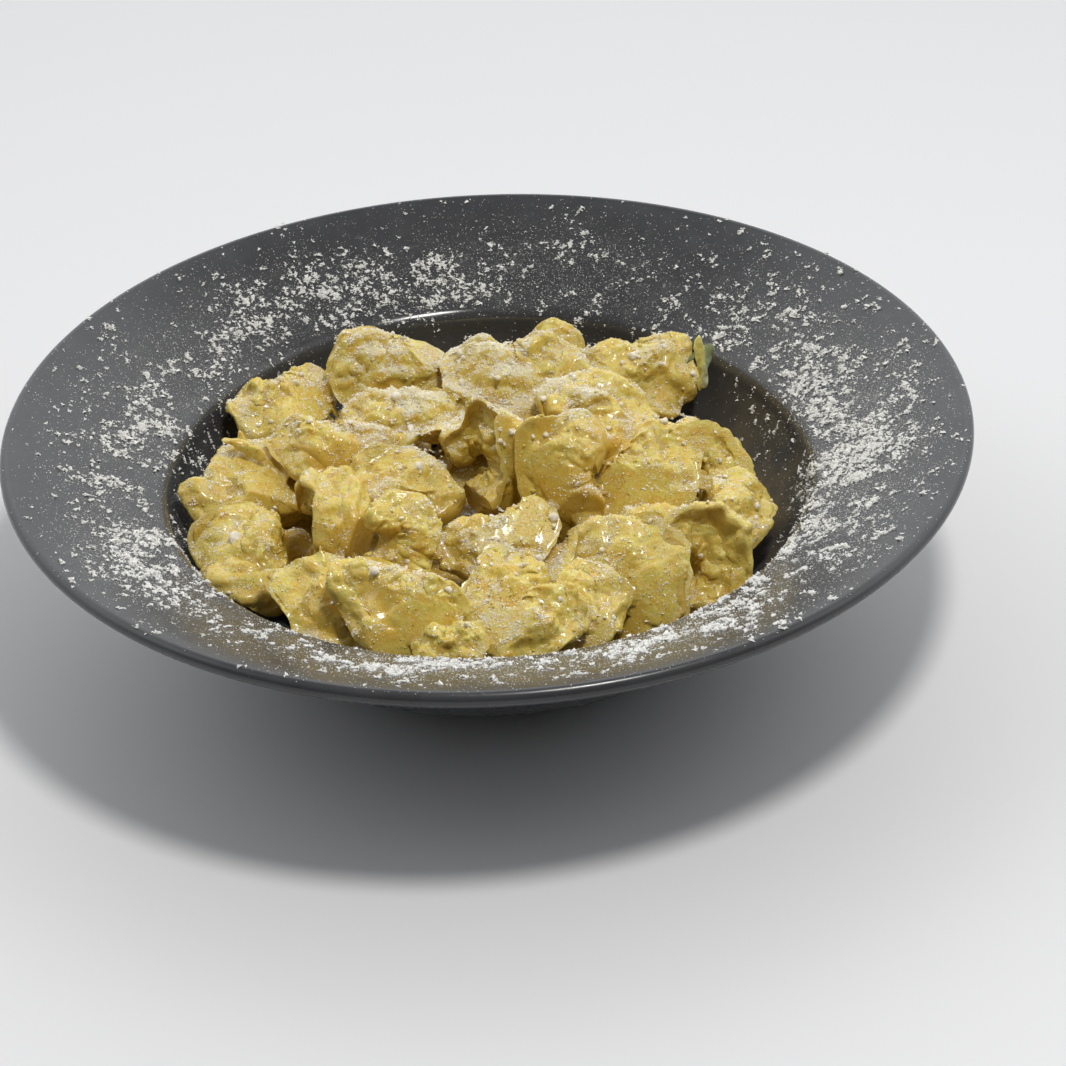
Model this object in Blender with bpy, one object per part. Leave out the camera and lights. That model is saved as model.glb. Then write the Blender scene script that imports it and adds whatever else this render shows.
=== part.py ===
"""A wide-rimmed grey pasta bowl filled with sauced tortellini, in metres, +Z up.

The origin is the middle of the foot ring's flat underside. The bowl is turned from one
profile. Every dumpling is the same folded shape with its own measures: a crescent of
dough bent round its own hole, fat in the middle, with a thin flap standing along it.
Dumplings that sink too deep into each other first move apart as whole bodies. Where two
still press on each other, both are squeezed flat against a shared plane, as soft dough
is, so that each stays a closed solid of its own.
"""

import math

import bpy
import numpy as np
from mathutils.bvhtree import BVHTree

MM = 0.001

# Bowl, millimetres.
RIM_RADIUS = 135.0
BOWL_HEIGHT = 62.0
RIM_THICK = 4.2
SHOULDER_RADIUS = 90.8
SHOULDER_HEIGHT = 42.0
SHOULDER_ROUND = 5.0
FLOOR_RADIUS = 46.0
FLOOR_HEIGHT = 8.0
WALL = 4.6
FOOT_RADIUS = 62.0
FOOT_WIDTH = 5.5
FOOT_ROUND = 1.2
WALL_ANGLES = (16.0, 32.0, 48.0, 64.0, 78.0)
BOWL_STEPS = 52

# Sauce and pasta lying out of sight under the dumplings.
BED_RADIUS = 65.0
BED_TOP = 16.0
BED_EDGE = 13.0
BED_STEPS = 28
BED_GAP = 0.6
BED_RINGS = (22.0, 44.0, 57.0, 63.0)
BED_UNDER_ANGLES = (20.0, 8.0)
BED_CLEARANCE = 1.6

# Dumpling mesh: rings from tip to tip, and places round each ring: 0 is the flap's edge,
# FLAP_SHARE either side of it the flap's foot, and 1 the far side of the dough.
TIP_TO_TIP = (-0.95, -0.8, -0.6, -0.4, -0.2, 0.0, 0.2, 0.4, 0.6, 0.8, 0.95)
ROUND_THE_DOUGH = (0.0, 0.3, 0.5, 0.75, 1.0, -0.75, -0.5, -0.3)
FLAP_SHARE = 0.3
FLAP_FOOT = 0.3
FLAP_HALF_THICK = 1.15
FLAP_FILLET = 1.6
ROUND_TIP = 0.8

# How soft dough gives way.
CONTACT_GAP = 0.16
SOFT_DEPTH = 1.2
WALL_GAP = 0.7
UPPER_KEEPS = 0.65
SQUEEZES = 6

# How the heap settles before it is squeezed.
DEEPEST_SQUEEZE = 3.5
UPPER_COUNT = 29
UPPER_YIELDS = 0.3
SETTLE_STEPS = 14

# Colours, linear.
GLAZE_GREY = (0.055, 0.056, 0.059)
PASTA_YELLOW = (0.62, 0.43, 0.13)
SAUCE_YELLOW = (0.42, 0.27, 0.06)

# Each kind of fold: half angle of the crescent (degrees), radius of its middle line,
# belly width and height, width at the tips, flap height, flap seat (degrees down from
# the top), flap bend, ruffle, rise from tip to tip (all else in millimetres).
KINDS = {
    "pillow": (100.0, 6.8, 9.6, 7.6, 5.2, 7.0, 75.0, -0.25, 1.6, 2.0),
    "ring": (160.0, 9.0, 8.0, 7.0, 5.2, 6.0, 30.0, 0.2, 1.6, 6.0),
    "curl": (118.0, 10.5, 7.0, 6.6, 6.0, 3.2, 30.0, 0.1, 0.8, 2.0),
    "fan": (92.0, 7.2, 7.4, 6.0, 4.4, 12.0, 80.0, -0.3, 2.4, 1.0),
    "frill": (66.0, 14.0, 7.8, 6.6, 5.4, 8.0, 84.0, 0.2, 3.0, 0.5),
}

# The heap before it settles: place of each middle (millimetres), compass direction of the
# belly, lean of the crescent's axis from upright, compass direction it leans to (degrees),
# size, kind.
HEAP = (
    (-57, 44, 39, -60, 20, -60, 1.08, "fan"),
    (-29, 52, 41, 250, 62, -95, 1.25, "pillow"),
    (-24, 25, 41, -95, 15, -90, 1.05, "frill"),
    (-67, 5, 40, 115, 22, -60, 1.04, "fan"),
    (-45, 11, 38, -100, 35, -90, 1.12, "pillow"),
    (-38, -27, 36, -40, 62, -160, 1.08, "ring"),
    (-68, -25, 32, 200, 20, -80, 1.04, "fan"),
    (-47, -53, 31, 195, 40, -90, 1.04, "pillow"),
    (-24, -62, 32, 250, 40, -90, 1.20, "pillow"),
    (-11, -73, 30, -90, 35, -90, 0.62, "pillow"),
    (-1, -54, 35, 150, 30, -90, 0.95, "fan"),
    (5, -68, 31, -80, 35, -90, 1.15, "pillow"),
    (-23, 1, 37, 90, 20, -90, 1.10, "pillow"),
    (-1, -1, 43, 0, 50, -130, 1.00, "ring"),
    (-23, -31, 37, 10, 125, 90, 0.92, "ring"),
    (-5, -31, 34, -75, 25, -90, 1.05, "frill"),
    (6, 37, 43, -90, 30, -90, 1.42, "pillow"),
    (22, 62, 43, 90, 60, -90, 0.74, "pillow"),
    (46, 52, 37, -70, 35, -60, 1.20, "pillow"),
    (33, 25, 42, 45, 20, -90, 1.15, "pillow"),
    (21, -8, 42, 185, 120, 92, 1.20, "pillow"),
    (42, -8, 37, -40, 35, -90, 1.20, "pillow"),
    (61, -1, 34, 20, 50, -70, 1.10, "curl"),
    (64, -18, 31, -10, 20, -60, 0.95, "pillow"),
    (38, -51, 35, 10, 50, -120, 1.10, "fan"),
    (56, -41, 32, -20, 45, -80, 1.12, "ring"),
    (22, -60, 31, -30, 30, -90, 0.95, "pillow"),
    (47, -27, 32, 90, 60, -90, 0.95, "curl"),
    (20, -33, 33, -60, 20, -90, 0.80, "pillow"),
    (-60, 20, 21, 120, 15, 60, 0.95, "pillow"),
    (-52, -18, 21, 40, 10, 0, 0.95, "pillow"),
    (-10, 64, 21, 80, 15, 90, 1.00, "pillow"),
    (-41, 57, 21, 120, 15, 120, 0.95, "ring"),
    (55, 30, 21, 30, 15, 30, 1.00, "pillow"),
    (24, 66, 21, 60, 15, 70, 0.95, "ring"),
    (60, -15, 20, -20, 10, -20, 0.78, "pillow"),
    (8, 12, 21, 0, 10, 0, 1.00, "pillow"),
    (22, -46, 20, -60, 10, -60, 0.90, "pillow"),
    (-34, -38, 21, -120, 10, -120, 0.90, "pillow"),
    (-26, 26, 21, 150, 10, 150, 1.00, "pillow"),
)


def clear_scene():
    """Start from an empty scene."""
    for thing in list(bpy.data.objects):
        bpy.data.objects.remove(thing, do_unlink=True)


def make_material(name, colour, roughness):
    """A plain material with the part's own colour and gloss."""
    material = bpy.data.materials.new(name)
    material.use_nodes = True
    shader = material.node_tree.nodes["Principled BSDF"]
    shader.inputs["Base Color"].default_value = (*colour, 1.0)
    shader.inputs["Roughness"].default_value = roughness
    shader.inputs["Metallic"].default_value = 0.0
    return material


def add_object(name, points, edges, faces, material):
    """A smooth mesh object from points in millimetres."""
    mesh = bpy.data.meshes.new(name)
    mesh.from_pydata((np.asarray(points) * MM).tolist(), edges, faces)
    mesh.shade_smooth()
    mesh.materials.append(material)
    thing = bpy.data.objects.new(name, mesh)
    bpy.context.scene.collection.objects.link(thing)
    return thing


def wall_point(angle, offset):
    """A point of the bowl's wall, a quarter ellipse from floor to shoulder."""
    turn = math.radians(angle)
    across = SHOULDER_RADIUS - FLOOR_RADIUS + offset
    down = SHOULDER_HEIGHT - FLOOR_HEIGHT + offset
    return (FLOOR_RADIUS + across * math.sin(turn), SHOULDER_HEIGHT - down * math.cos(turn))


def rim_slope():
    """The rim's rise for each millimetre outwards."""
    return (BOWL_HEIGHT - SHOULDER_HEIGHT - 1.6) / (RIM_RADIUS - SHOULDER_RADIUS - 4.0)


def bowl_profile():
    """Radius and height, from the floor's middle up, over the lip and down to the foot."""
    upper = [(0.0, FLOOR_HEIGHT), (FLOOR_RADIUS, FLOOR_HEIGHT)]
    upper += [wall_point(angle, 0.0) for angle in WALL_ANGLES]
    upper.append((SHOULDER_RADIUS + 0.6, SHOULDER_HEIGHT - 1.2))
    upper.append((SHOULDER_RADIUS + 0.4 * SHOULDER_ROUND, SHOULDER_HEIGHT + 0.3))
    upper.append((SHOULDER_RADIUS + SHOULDER_ROUND, SHOULDER_HEIGHT + 1.8))
    lip_in = RIM_RADIUS - 3.6
    lip = [
        (lip_in, BOWL_HEIGHT - 0.5),
        (RIM_RADIUS - 1.9, BOWL_HEIGHT),
        (RIM_RADIUS - 0.4, BOWL_HEIGHT - 0.9),
        (RIM_RADIUS, BOWL_HEIGHT - 2.4),
        (RIM_RADIUS - 1.0, BOWL_HEIGHT - 4.0),
    ]
    under_z = BOWL_HEIGHT - RIM_THICK - rim_slope() * (RIM_RADIUS - SHOULDER_RADIUS - SHOULDER_ROUND)
    lower = [(SHOULDER_RADIUS + SHOULDER_ROUND + 1.5, under_z)]
    lower += [wall_point(angle, WALL) for angle in reversed(WALL_ANGLES[1:])]
    foot_top = wall_point(21.0, WALL)
    foot_in = FOOT_RADIUS - FOOT_WIDTH
    foot = [
        (FOOT_RADIUS + 0.6, foot_top[1] + 0.4),
        (FOOT_RADIUS, FOOT_ROUND),
        (FOOT_RADIUS - FOOT_ROUND, 0.0),
        (foot_in + FOOT_ROUND, 0.0),
        (foot_in, FOOT_ROUND),
        (foot_in - 1.0, FLOOR_HEIGHT - WALL + 0.6),
        (0.0, FLOOR_HEIGHT - WALL),
    ]
    return upper + lip + lower + foot


def make_bowl(material):
    """The bowl, its profile turned once round the axis."""
    profile = bowl_profile()
    points = [(radius, 0.0, height) for radius, height in profile]
    edges = [(k, k + 1) for k in range(len(points) - 1)]
    bowl = add_object("bowl", points, edges, [], material)
    turn = bowl.modifiers.new("Turn", "SCREW")
    turn.steps = BOWL_STEPS
    turn.render_steps = BOWL_STEPS
    turn.use_merge_vertices = True
    turn.merge_threshold = 0.0001
    return bowl


def inside_radius(height):
    """The well's inner radius at each height: the ellipse, then the sloping rim."""
    share = np.clip((SHOULDER_HEIGHT - height) / (SHOULDER_HEIGHT - FLOOR_HEIGHT), 0.0, 1.0)
    wall = FLOOR_RADIUS + (SHOULDER_RADIUS - FLOOR_RADIUS) * np.sqrt(1.0 - share**2)
    return wall + np.maximum(height - SHOULDER_HEIGHT, 0.0) / rim_slope() * 0.9


def bed_height(x, y):
    """Top of the sauce bed: a low dome with soft, uneven swells."""
    radius = np.hypot(x, y)
    dome = BED_EDGE + (BED_TOP - BED_EDGE) * (1.0 - (radius / BED_RADIUS) ** 2)
    swell = 0.5 * np.sin(x / 6.5 + 0.8) * np.cos(y / 7.5) + 0.35 * np.sin((x + y) / 8.5)
    return dome + swell


def make_bed(material):
    """The closed bed: an uneven top and an underside that follows the well."""
    turns = np.linspace(0.0, 2.0 * math.pi, BED_STEPS, endpoint=False)
    cos, sin = np.cos(turns), np.sin(turns)
    rings = []
    for radius in BED_RINGS:
        rings.append(np.stack([radius * cos, radius * sin, bed_height(radius * cos, radius * sin)], 1))
    for angle in BED_UNDER_ANGLES:
        radius, height = wall_point(angle, -BED_CLEARANCE)
        rings.append(np.stack([radius * cos, radius * sin, np.full(BED_STEPS, height)], 1))
    top = np.array([[0.0, 0.0, bed_height(0.0, 0.0)]])
    bottom = np.array([[0.0, 0.0, FLOOR_HEIGHT + BED_CLEARANCE]])
    points = np.concatenate([top] + rings + [bottom])
    return add_object("sauce_bed", points, [], grid_faces(len(rings), BED_STEPS), material)


def grid_faces(rings, around):
    """Faces of a closed skin: a fan, bands between rings, and a fan at the other end."""
    faces = []
    last = rings * around + 1
    for k in range(around):
        after = (k + 1) % around
        faces.append((0, 1 + k, 1 + after))
        for ring in range(rings - 1):
            low = 1 + ring * around
            high = low + around
            faces.append((low + k, high + k, high + after, low + after))
        tail = last - around
        faces.append((tail + k, last, tail + after))
    return faces


def unevenness(points, seed, size):
    """A slow, smooth wandering of the dough: a few sine waves in chosen directions."""
    pick = np.random.RandomState(seed)
    shift = np.zeros_like(points)
    for wave in (17.0, 12.0, 8.5):
        for axis in range(3):
            way = pick.normal(size=3)
            way /= np.linalg.norm(way)
            phase = pick.uniform(0.0, 2.0 * math.pi)
            shift[:, axis] += wave / 17.0 * np.sin(points @ way * 2.0 * math.pi / wave + phase)
    return points + size * shift


def dough_radius(angle, out, inner, tall):
    """From a ring's middle to its skin: half an ellipse outwards, a flatter half inwards."""
    wide = np.where(np.cos(angle) > 0.0, out, inner)
    return 1.0 / np.hypot(np.cos(angle) / wide, np.sin(angle) / tall)


def dumpling(kind, size, seed):
    """Skin points of one dumpling about its own middle, in millimetres.

    Each ring of points is a lopsided ellipse square to the crescent's middle line. Near
    one angle it runs out along one side of a thin flap and back along the other. Rings
    shrink towards the two tips, and each tip closes in a point.
    """
    half, middle, width, height, tip, flap, seat, bend, ruffle, rise = KINDS[kind]
    pick = np.random.RandomState(seed)
    width, height, flap = np.array([width, height, flap]) * pick.uniform(0.92, 1.1, 3)
    phase = pick.uniform(0.0, 6.28, 3)
    along = np.array(TIP_TO_TIP)[:, None]
    around = np.array(ROUND_THE_DOUGH)[None, :]
    side = np.sign(around)
    half = math.radians(half)
    past = np.clip((np.abs(along) - ROUND_TIP) / (1.0 - ROUND_TIP), 0.0, 1.0)
    shrink = np.sqrt(1.0 - past**2)
    belly = np.cos(0.5 * math.pi * along) ** 1.2
    out = (tip + (width - tip) * belly) * shrink
    tall = (tip + (height - tip) * belly) * shrink
    inner = np.minimum(out, 0.86 * middle)
    seat = 0.5 * math.pi - math.radians(seat)

    # The body, from one foot of the flap round to the other.
    share = np.clip((np.abs(around) - FLAP_SHARE) / (1.0 - FLAP_SHARE), 0.0, 1.0)
    angle = seat + side * (FLAP_FOOT + share * (math.pi - FLAP_FOOT))
    radius = dough_radius(angle, out, inner, tall)
    outward, upward = radius * np.cos(angle), radius * np.sin(angle)

    # The flap: height along the crescent, half thickness, and its sideways sway.
    across = np.clip(np.abs(around) / FLAP_SHARE, 0.0, 1.0)
    crest = flap * (1.0 - 0.8 * np.abs(along) ** 2.4) * shrink
    crest = crest * (1.0 + 0.14 * np.sin(7.0 * along + phase[0]))
    stand = 1.0 - across**1.6
    thin = FLAP_HALF_THICK * shrink
    foot = dough_radius(seat + FLAP_FOOT + 0.0 * along, out, inner, tall) * math.sin(FLAP_FOOT)
    thick = thin + np.maximum(foot - thin, 0.0) * np.exp(-crest * stand / FLAP_FILLET)
    thick = thick * side * (1.0 - (1.0 - across) ** 3)
    sway = bend * crest * stand**2
    sway = sway + ruffle * shrink * stand**1.4 * np.sin(8.0 * along + phase[1])
    lift = dough_radius(seat + 0.0 * along, out, inner, tall) * math.cos(FLAP_FOOT) + crest * stand
    over = np.where(share > 0.0, 0.0, 1.0 - across**6)
    outward += over * (math.cos(seat) * lift - math.sin(seat) * (thick + sway) - outward)
    upward += over * (math.sin(seat) * lift + math.cos(seat) * (thick + sway) - upward)

    reach = middle + outward
    climb = 0.5 * rise * along + upward
    turn = half * along
    skin = np.stack([reach * np.cos(turn), reach * np.sin(turn), climb], -1).reshape(-1, 3)
    tips = [[middle * math.cos(half * end), middle * math.sin(half * end), 0.5 * rise * end]
            for end in (-1.0, 1.0)]
    points = np.concatenate([tips[:1], skin, tips[1:]])
    points = unevenness(points, seed + 500, 0.7) * size
    return points - 0.5 * (points.min(0) + points.max(0))


def turned(points, belly, lean, toward):
    """Turn the belly to its compass direction and lean the crescent's axis over."""
    for axis, degrees in ((2, belly - toward), (1, lean), (2, toward)):
        angle = math.radians(degrees)
        cos, sin = math.cos(angle), math.sin(angle)
        first, second = ((0, 1), (2, 0))[axis == 1]
        moved = points.copy()
        moved[:, first] = cos * points[:, first] - sin * points[:, second]
        moved[:, second] = sin * points[:, first] + cos * points[:, second]
        points = moved
    return points


def give_way(depth):
    """How far dough backs off at this depth past a surface, never crossing itself."""
    soft = SOFT_DEPTH - CONTACT_GAP
    settled = -CONTACT_GAP - soft * np.exp(-(np.maximum(depth, -SOFT_DEPTH) + SOFT_DEPTH) / soft)
    return np.where(depth > -SOFT_DEPTH, depth - settled, 0.0)


def squeezed(points, planes):
    """The dumpling pressed against its neighbours' planes, the bowl's wall and the bed."""
    points = points.copy()
    for _ in range(SQUEEZES):
        radius = np.hypot(points[:, 0], points[:, 1])
        back = give_way(radius - inside_radius(points[:, 2]) + WALL_GAP)
        points[:, :2] *= (1.0 - back / np.maximum(radius, 1.0))[:, None]
        bed = bed_height(points[:, 0], points[:, 1]) + BED_GAP
        points[:, 2] += give_way(bed - points[:, 2])
        for normal, offset in planes:
            points = points - give_way(points @ normal - offset)[:, None] * normal
    return points


def directions(count):
    """Unit vectors spread evenly over a sphere."""
    rank = np.arange(count) + 0.5
    height = 1.0 - 2.0 * rank / count
    turn = math.pi * (1.0 + math.sqrt(5.0)) * rank
    flat = np.sqrt(1.0 - height**2)
    return np.stack([flat * np.cos(turn), flat * np.sin(turn), height], 1)


def contact_plane(first, second):
    """The plane between two dumplings along the way that needs the least squeezing."""
    ways = directions(400)
    ways = ways[ways @ (second.mean(0) - first.mean(0)) > 0.0]
    near = (second @ ways.T).min(0)
    depth = (first @ ways.T).max(0) - near
    best = int(depth.argmin())
    keeps = UPPER_KEEPS if first[:, 2].mean() > second[:, 2].mean() else 1.0 - UPPER_KEEPS
    return ways[best], near[best] + keeps * depth[best], depth[best]


def pressing(skins, faces):
    """How each dumpling is pushed by those that it sinks too deep into."""
    push = [np.zeros(3) for _ in skins]
    for first, second in touching(skins, faces):
        normal, _, depth = contact_plane(skins[first], skins[second])
        excess = 0.5 * max(depth - DEEPEST_SQUEEZE, 0.0)
        yields = [1.0 if k >= UPPER_COUNT else UPPER_YIELDS for k in (first, second)]
        push[first] -= excess * yields[0] / sum(yields) * normal
        push[second] += excess * yields[1] / sum(yields) * normal
    return push


def settled_heap(skins, faces):
    """The dumplings moved apart as whole bodies, inside the well and on the bed."""
    for _ in range(SETTLE_STEPS):
        moved = []
        for skin, push in zip(skins, pressing(skins, faces)):
            skin = skin + push
            radius = np.hypot(skin[:, 0], skin[:, 1])
            out = radius - inside_radius(skin[:, 2]) + WALL_GAP
            worst = int(out.argmax())
            inwards = -skin[worst, :2] / radius[worst]
            skin[:, :2] += max(out[worst] - SOFT_DEPTH, 0.0) * inwards
            sunk = (bed_height(skin[:, 0], skin[:, 1]) + BED_GAP - skin[:, 2]).max()
            skin[:, 2] += max(sunk - SOFT_DEPTH, 0.0)
            moved.append(skin)
        skins = moved
    return skins


def touching(skins, faces):
    """Pairs of dumplings whose slightly grown skins cross."""
    trees = []
    for skin in skins:
        centre = skin.mean(0)
        trees.append(BVHTree.FromPolygons((centre + (skin - centre) * 1.02).tolist(), faces))
    pairs = []
    for first in range(len(skins)):
        for second in range(first + 1, len(skins)):
            if trees[first].overlap(trees[second]):
                pairs.append((first, second))
    return pairs


def press_heap(loose, faces):
    """Squeeze the whole heap until no two dumplings cross."""
    planes = [[] for _ in loose]
    settled = set()
    skins = loose
    for _ in range(SQUEEZES):
        fresh = [pair for pair in touching(skins, faces) if pair not in settled]
        for first, second in fresh:
            normal, offset, _ = contact_plane(skins[first], skins[second])
            planes[first].append((normal, offset))
            planes[second].append((-normal, -offset))
            settled.add((first, second))
        skins = [squeezed(skin, own) for skin, own in zip(loose, planes)]
    return skins


def make_heap(material):
    """Every dumpling of the heap, as its own object."""
    faces = grid_faces(len(TIP_TO_TIP), len(ROUND_THE_DOUGH))
    loose = []
    for number, (x, y, z, belly, lean, toward, size, kind) in enumerate(HEAP, 1):
        skin = turned(dumpling(kind, size, number), belly, lean, toward)
        loose.append(skin + np.array([x, y, z], dtype=float))
    for number, skin in enumerate(press_heap(settled_heap(loose, faces), faces), 1):
        add_object(f"tortellino_{number:02d}", skin, [], faces, material)


def main():
    clear_scene()
    make_bowl(make_material("grey_glaze", GLAZE_GREY, 0.28))
    make_bed(make_material("sauce", SAUCE_YELLOW, 0.45))
    make_heap(make_material("pasta", PASTA_YELLOW, 0.45))


main()
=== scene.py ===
import math
import time

import bpy
import numpy as np
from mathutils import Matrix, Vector
from mathutils.bvhtree import BVHTree


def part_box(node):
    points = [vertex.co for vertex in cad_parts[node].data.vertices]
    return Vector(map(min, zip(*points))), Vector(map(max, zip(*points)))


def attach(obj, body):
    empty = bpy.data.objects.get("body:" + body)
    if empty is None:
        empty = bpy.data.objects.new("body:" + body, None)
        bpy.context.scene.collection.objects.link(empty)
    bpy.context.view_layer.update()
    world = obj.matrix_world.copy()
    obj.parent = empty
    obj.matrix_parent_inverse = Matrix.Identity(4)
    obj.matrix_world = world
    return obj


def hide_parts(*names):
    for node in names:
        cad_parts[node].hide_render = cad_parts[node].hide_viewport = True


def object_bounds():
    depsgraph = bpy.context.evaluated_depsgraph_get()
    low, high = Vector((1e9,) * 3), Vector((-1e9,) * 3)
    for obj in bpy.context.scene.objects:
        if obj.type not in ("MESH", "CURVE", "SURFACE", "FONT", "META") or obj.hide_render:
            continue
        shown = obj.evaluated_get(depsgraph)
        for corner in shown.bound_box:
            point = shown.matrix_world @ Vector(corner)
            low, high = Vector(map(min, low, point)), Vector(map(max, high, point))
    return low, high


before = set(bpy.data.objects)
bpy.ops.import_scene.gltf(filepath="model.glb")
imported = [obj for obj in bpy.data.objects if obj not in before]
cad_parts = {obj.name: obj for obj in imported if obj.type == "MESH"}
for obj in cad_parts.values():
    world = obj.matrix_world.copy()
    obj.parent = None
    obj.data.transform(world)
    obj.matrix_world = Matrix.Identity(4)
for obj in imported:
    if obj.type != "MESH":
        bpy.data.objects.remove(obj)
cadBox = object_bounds()
mm = 0.001
started = time.time()


def report(stage):
    # Prints the stage and the seconds since the start.
    print(f"{stage}: {time.time() - started:.1f} s")


class Wire:
    # A socket in one material: + - * and > on it add Math nodes.
    def __init__(self, tree, socket):
        self.tree, self.socket = tree, socket

    def node(self, kind, settings=None, inputs=None, out=0):
        # One node of any type: its settings first, then the values or wires of its sockets.
        made = self.tree.nodes.new(kind)
        for key, value in (settings or {}).items():
            setattr(made, key, value)
        for key, value in (inputs or {}).items():
            if isinstance(value, Wire):
                self.tree.links.new(value.socket, made.inputs[key])
            else:
                made.inputs[key].default_value = value
        return Wire(self.tree, made.outputs[out])

    def combine(self, operation, first, second):
        return self.node("ShaderNodeMath", {"operation": operation}, {0: first, 1: second})

    def __add__(self, other):
        return self.combine("ADD", self, other)

    def __sub__(self, other):
        return self.combine("SUBTRACT", self, other)

    def __rsub__(self, other):
        return self.combine("SUBTRACT", other, self)

    def __mul__(self, other):
        return self.combine("MULTIPLY", self, other)

    def __gt__(self, other):
        return self.combine("GREATER_THAN", self, other)

    __radd__ = __add__
    __rmul__ = __mul__

    def ramp(self, low, high, least=0.0, most=1.0):
        # A smooth step from least to most as the value goes from low to high.
        return self.node("ShaderNodeMapRange", {"interpolation_type": "SMOOTHSTEP"},
                         {0: self, 1: low, 2: high, 3: least, 4: most})

    def mix(self, first, second):
        # first where this value is 0, second where it is 1; colours as (r, g, b) or wires.
        ends = [end if isinstance(end, Wire) else (*end, 1.0) for end in (first, second)]
        inputs = {0: self, 6: ends[0], 7: ends[1]}
        return self.node("ShaderNodeMix", {"data_type": "RGBA"}, inputs, 2)


class Finish:
    # A Principled material: its object coordinates, and the sockets that are even all over.
    def __init__(self, name, **fixed):
        self.material = bpy.data.materials.new(name)
        self.material.use_nodes = True
        self.tree = self.material.node_tree
        self.shader = self.tree.nodes["Principled BSDF"]
        for key, value in fixed.items():
            self.shader.inputs[key.replace("_", " ")].default_value = value
        self.place = Wire(self.tree, None).node("ShaderNodeTexCoord", out=3)

    def mark(self, name):
        # A value stored on the mesh's points; 0 where the mesh has none of that name.
        return self.place.node("ShaderNodeAttribute", {"attribute_name": name}, out=2)

    def noise(self, size, detail=3.0, rough=0.5):
        # Soft random field, 0 to 1, whose lumps are about size millimetres across.
        return self.place.node("ShaderNodeTexNoise", {"noise_dimensions": "3D"},
                               {"Vector": self.place, "Scale": 1.0 / (size * mm), "Detail": detail,
                                "Roughness": rough})

    def cells(self, size, out=0):
        # Random cells of this size: distance to the nearest centre, or out=1 for a colour.
        return self.place.node("ShaderNodeTexVoronoi", {"feature": "F1"},
                               {"Vector": self.place, "Scale": 1.0 / (size * mm)}, out)

    def specks(self, size, radius, share):
        # Dots of a radius in millimetres, in that share of the cells.
        chance = self.place.node("ShaderNodeSeparateColor", None, {0: self.cells(size, 1)})
        near = self.cells(size).ramp(radius / size * 1.3, radius / size * 0.8)
        return near * (chance > 1.0 - share)

    def feed(self, **wires):
        # Links each wire to the shader's socket of that name.
        for key, wire in wires.items():
            self.tree.links.new(wire.socket, self.shader.inputs[key.replace("_", " ")])

    def bump(self, height, depth, strength, below=None):
        # A normal tilted by the slope of height times depth in millimetres.
        values = {"Height": height, "Distance": depth * mm, "Strength": strength}
        if below is not None:
            values["Normal"] = below
        return self.place.node("ShaderNodeBump", None, values)


def lattice(points, size, seed):
    # Smooth random field: random values on the corners of a cubic lattice, joined by
    # smooth weights, from -1 to 1; size is the cell's side in the points' own unit.
    spot = points / size + 13.7 * (seed % 97) + 0.37
    cell = np.floor(spot).astype(np.int64)
    part = spot - cell
    part = part * part * (3.0 - 2.0 * part)
    total = np.zeros(len(points))
    for corner in range(8):
        step = np.array([(corner >> axis) & 1 for axis in range(3)])
        at = cell + step
        key = (at[:, 0] * 73856093) ^ (at[:, 1] * 19349663)
        key = key ^ (at[:, 2] * 83492791) ^ (seed * 5915587)
        key = ((key ^ (key >> 13)) * 1274126177) & 0xFFFFFFFF
        value = ((key ^ (key >> 16)) & 0xFFFF) / 32767.5 - 1.0
        total += value * np.prod(np.where(step, part, 1.0 - part), axis=1)
    return total


def fields(points, seed, *parts):
    # Sum of such fields, each given as (weight, size), with one seed after another.
    return sum(weight * lattice(points, size, seed + k) for k, (weight, size) in enumerate(parts))


def smoothStep(value, low, high):
    # 0 below low, 1 above high and a smooth rise between: three squares less two cubes.
    share = np.clip((value - low) / (high - low), 0.0, 1.0)
    return share * share * (3.0 - 2.0 * share)


def putMesh(name, points, faces, material, slotName, marks=None, replaced=(), smooth=True):
    # A finished piece from points in millimetres and one or more arrays of equal faces.
    faces = [faces] if isinstance(faces, np.ndarray) else faces
    corners = np.concatenate([block.ravel() for block in faces]).astype(np.int32)
    sizes = np.concatenate([np.full(len(block), block.shape[1]) for block in faces])
    mesh = bpy.data.meshes.new(name)
    mesh.vertices.add(len(points))
    mesh.vertices.foreach_set("co", (points * mm).astype(np.float32).ravel())
    mesh.loops.add(len(corners))
    mesh.loops.foreach_set("vertex_index", corners)
    mesh.polygons.add(len(sizes))
    mesh.polygons.foreach_set("loop_start", (np.cumsum(sizes) - sizes).astype(np.int32))
    mesh.update(calc_edges=True)
    mesh.polygons.foreach_set("use_smooth", np.full(len(sizes), smooth))
    for key, values in (marks or {}).items():
        mark = mesh.attributes.new(key, "FLOAT", "POINT")
        mark.data.foreach_set("value", values.astype(np.float32))
    mesh.materials.append(material)
    thing = bpy.data.objects.new(name, mesh)
    bpy.context.scene.collection.objects.link(thing)
    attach(thing, "root")
    if replaced:
        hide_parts(*replaced)


def radiusOf(points):
    # Distance of each point from the bowl's axis.
    return np.hypot(points[:, 0], points[:, 1])


def evenTurns(count):
    # Directions in radians spread evenly round the circle.
    return np.arange(count) * 2.0 * math.pi / count


def polar(radius, way, height):
    # Points at a radius, a direction in radians and a height.
    return np.stack(np.broadcast_arrays(radius * np.cos(way), radius * np.sin(way), height), -1)


def ringQuads(rings, around, first):
    # Quads between rings of points that are numbered ring by ring from first.
    spot = np.arange(around)
    after = (spot + 1) % around
    low = first + around * np.arange(rings - 1)[:, None]
    quads = [low + spot, low + around + spot, low + around + after, low + after]
    return np.stack(quads, -1).reshape(-1, 4)


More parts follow.
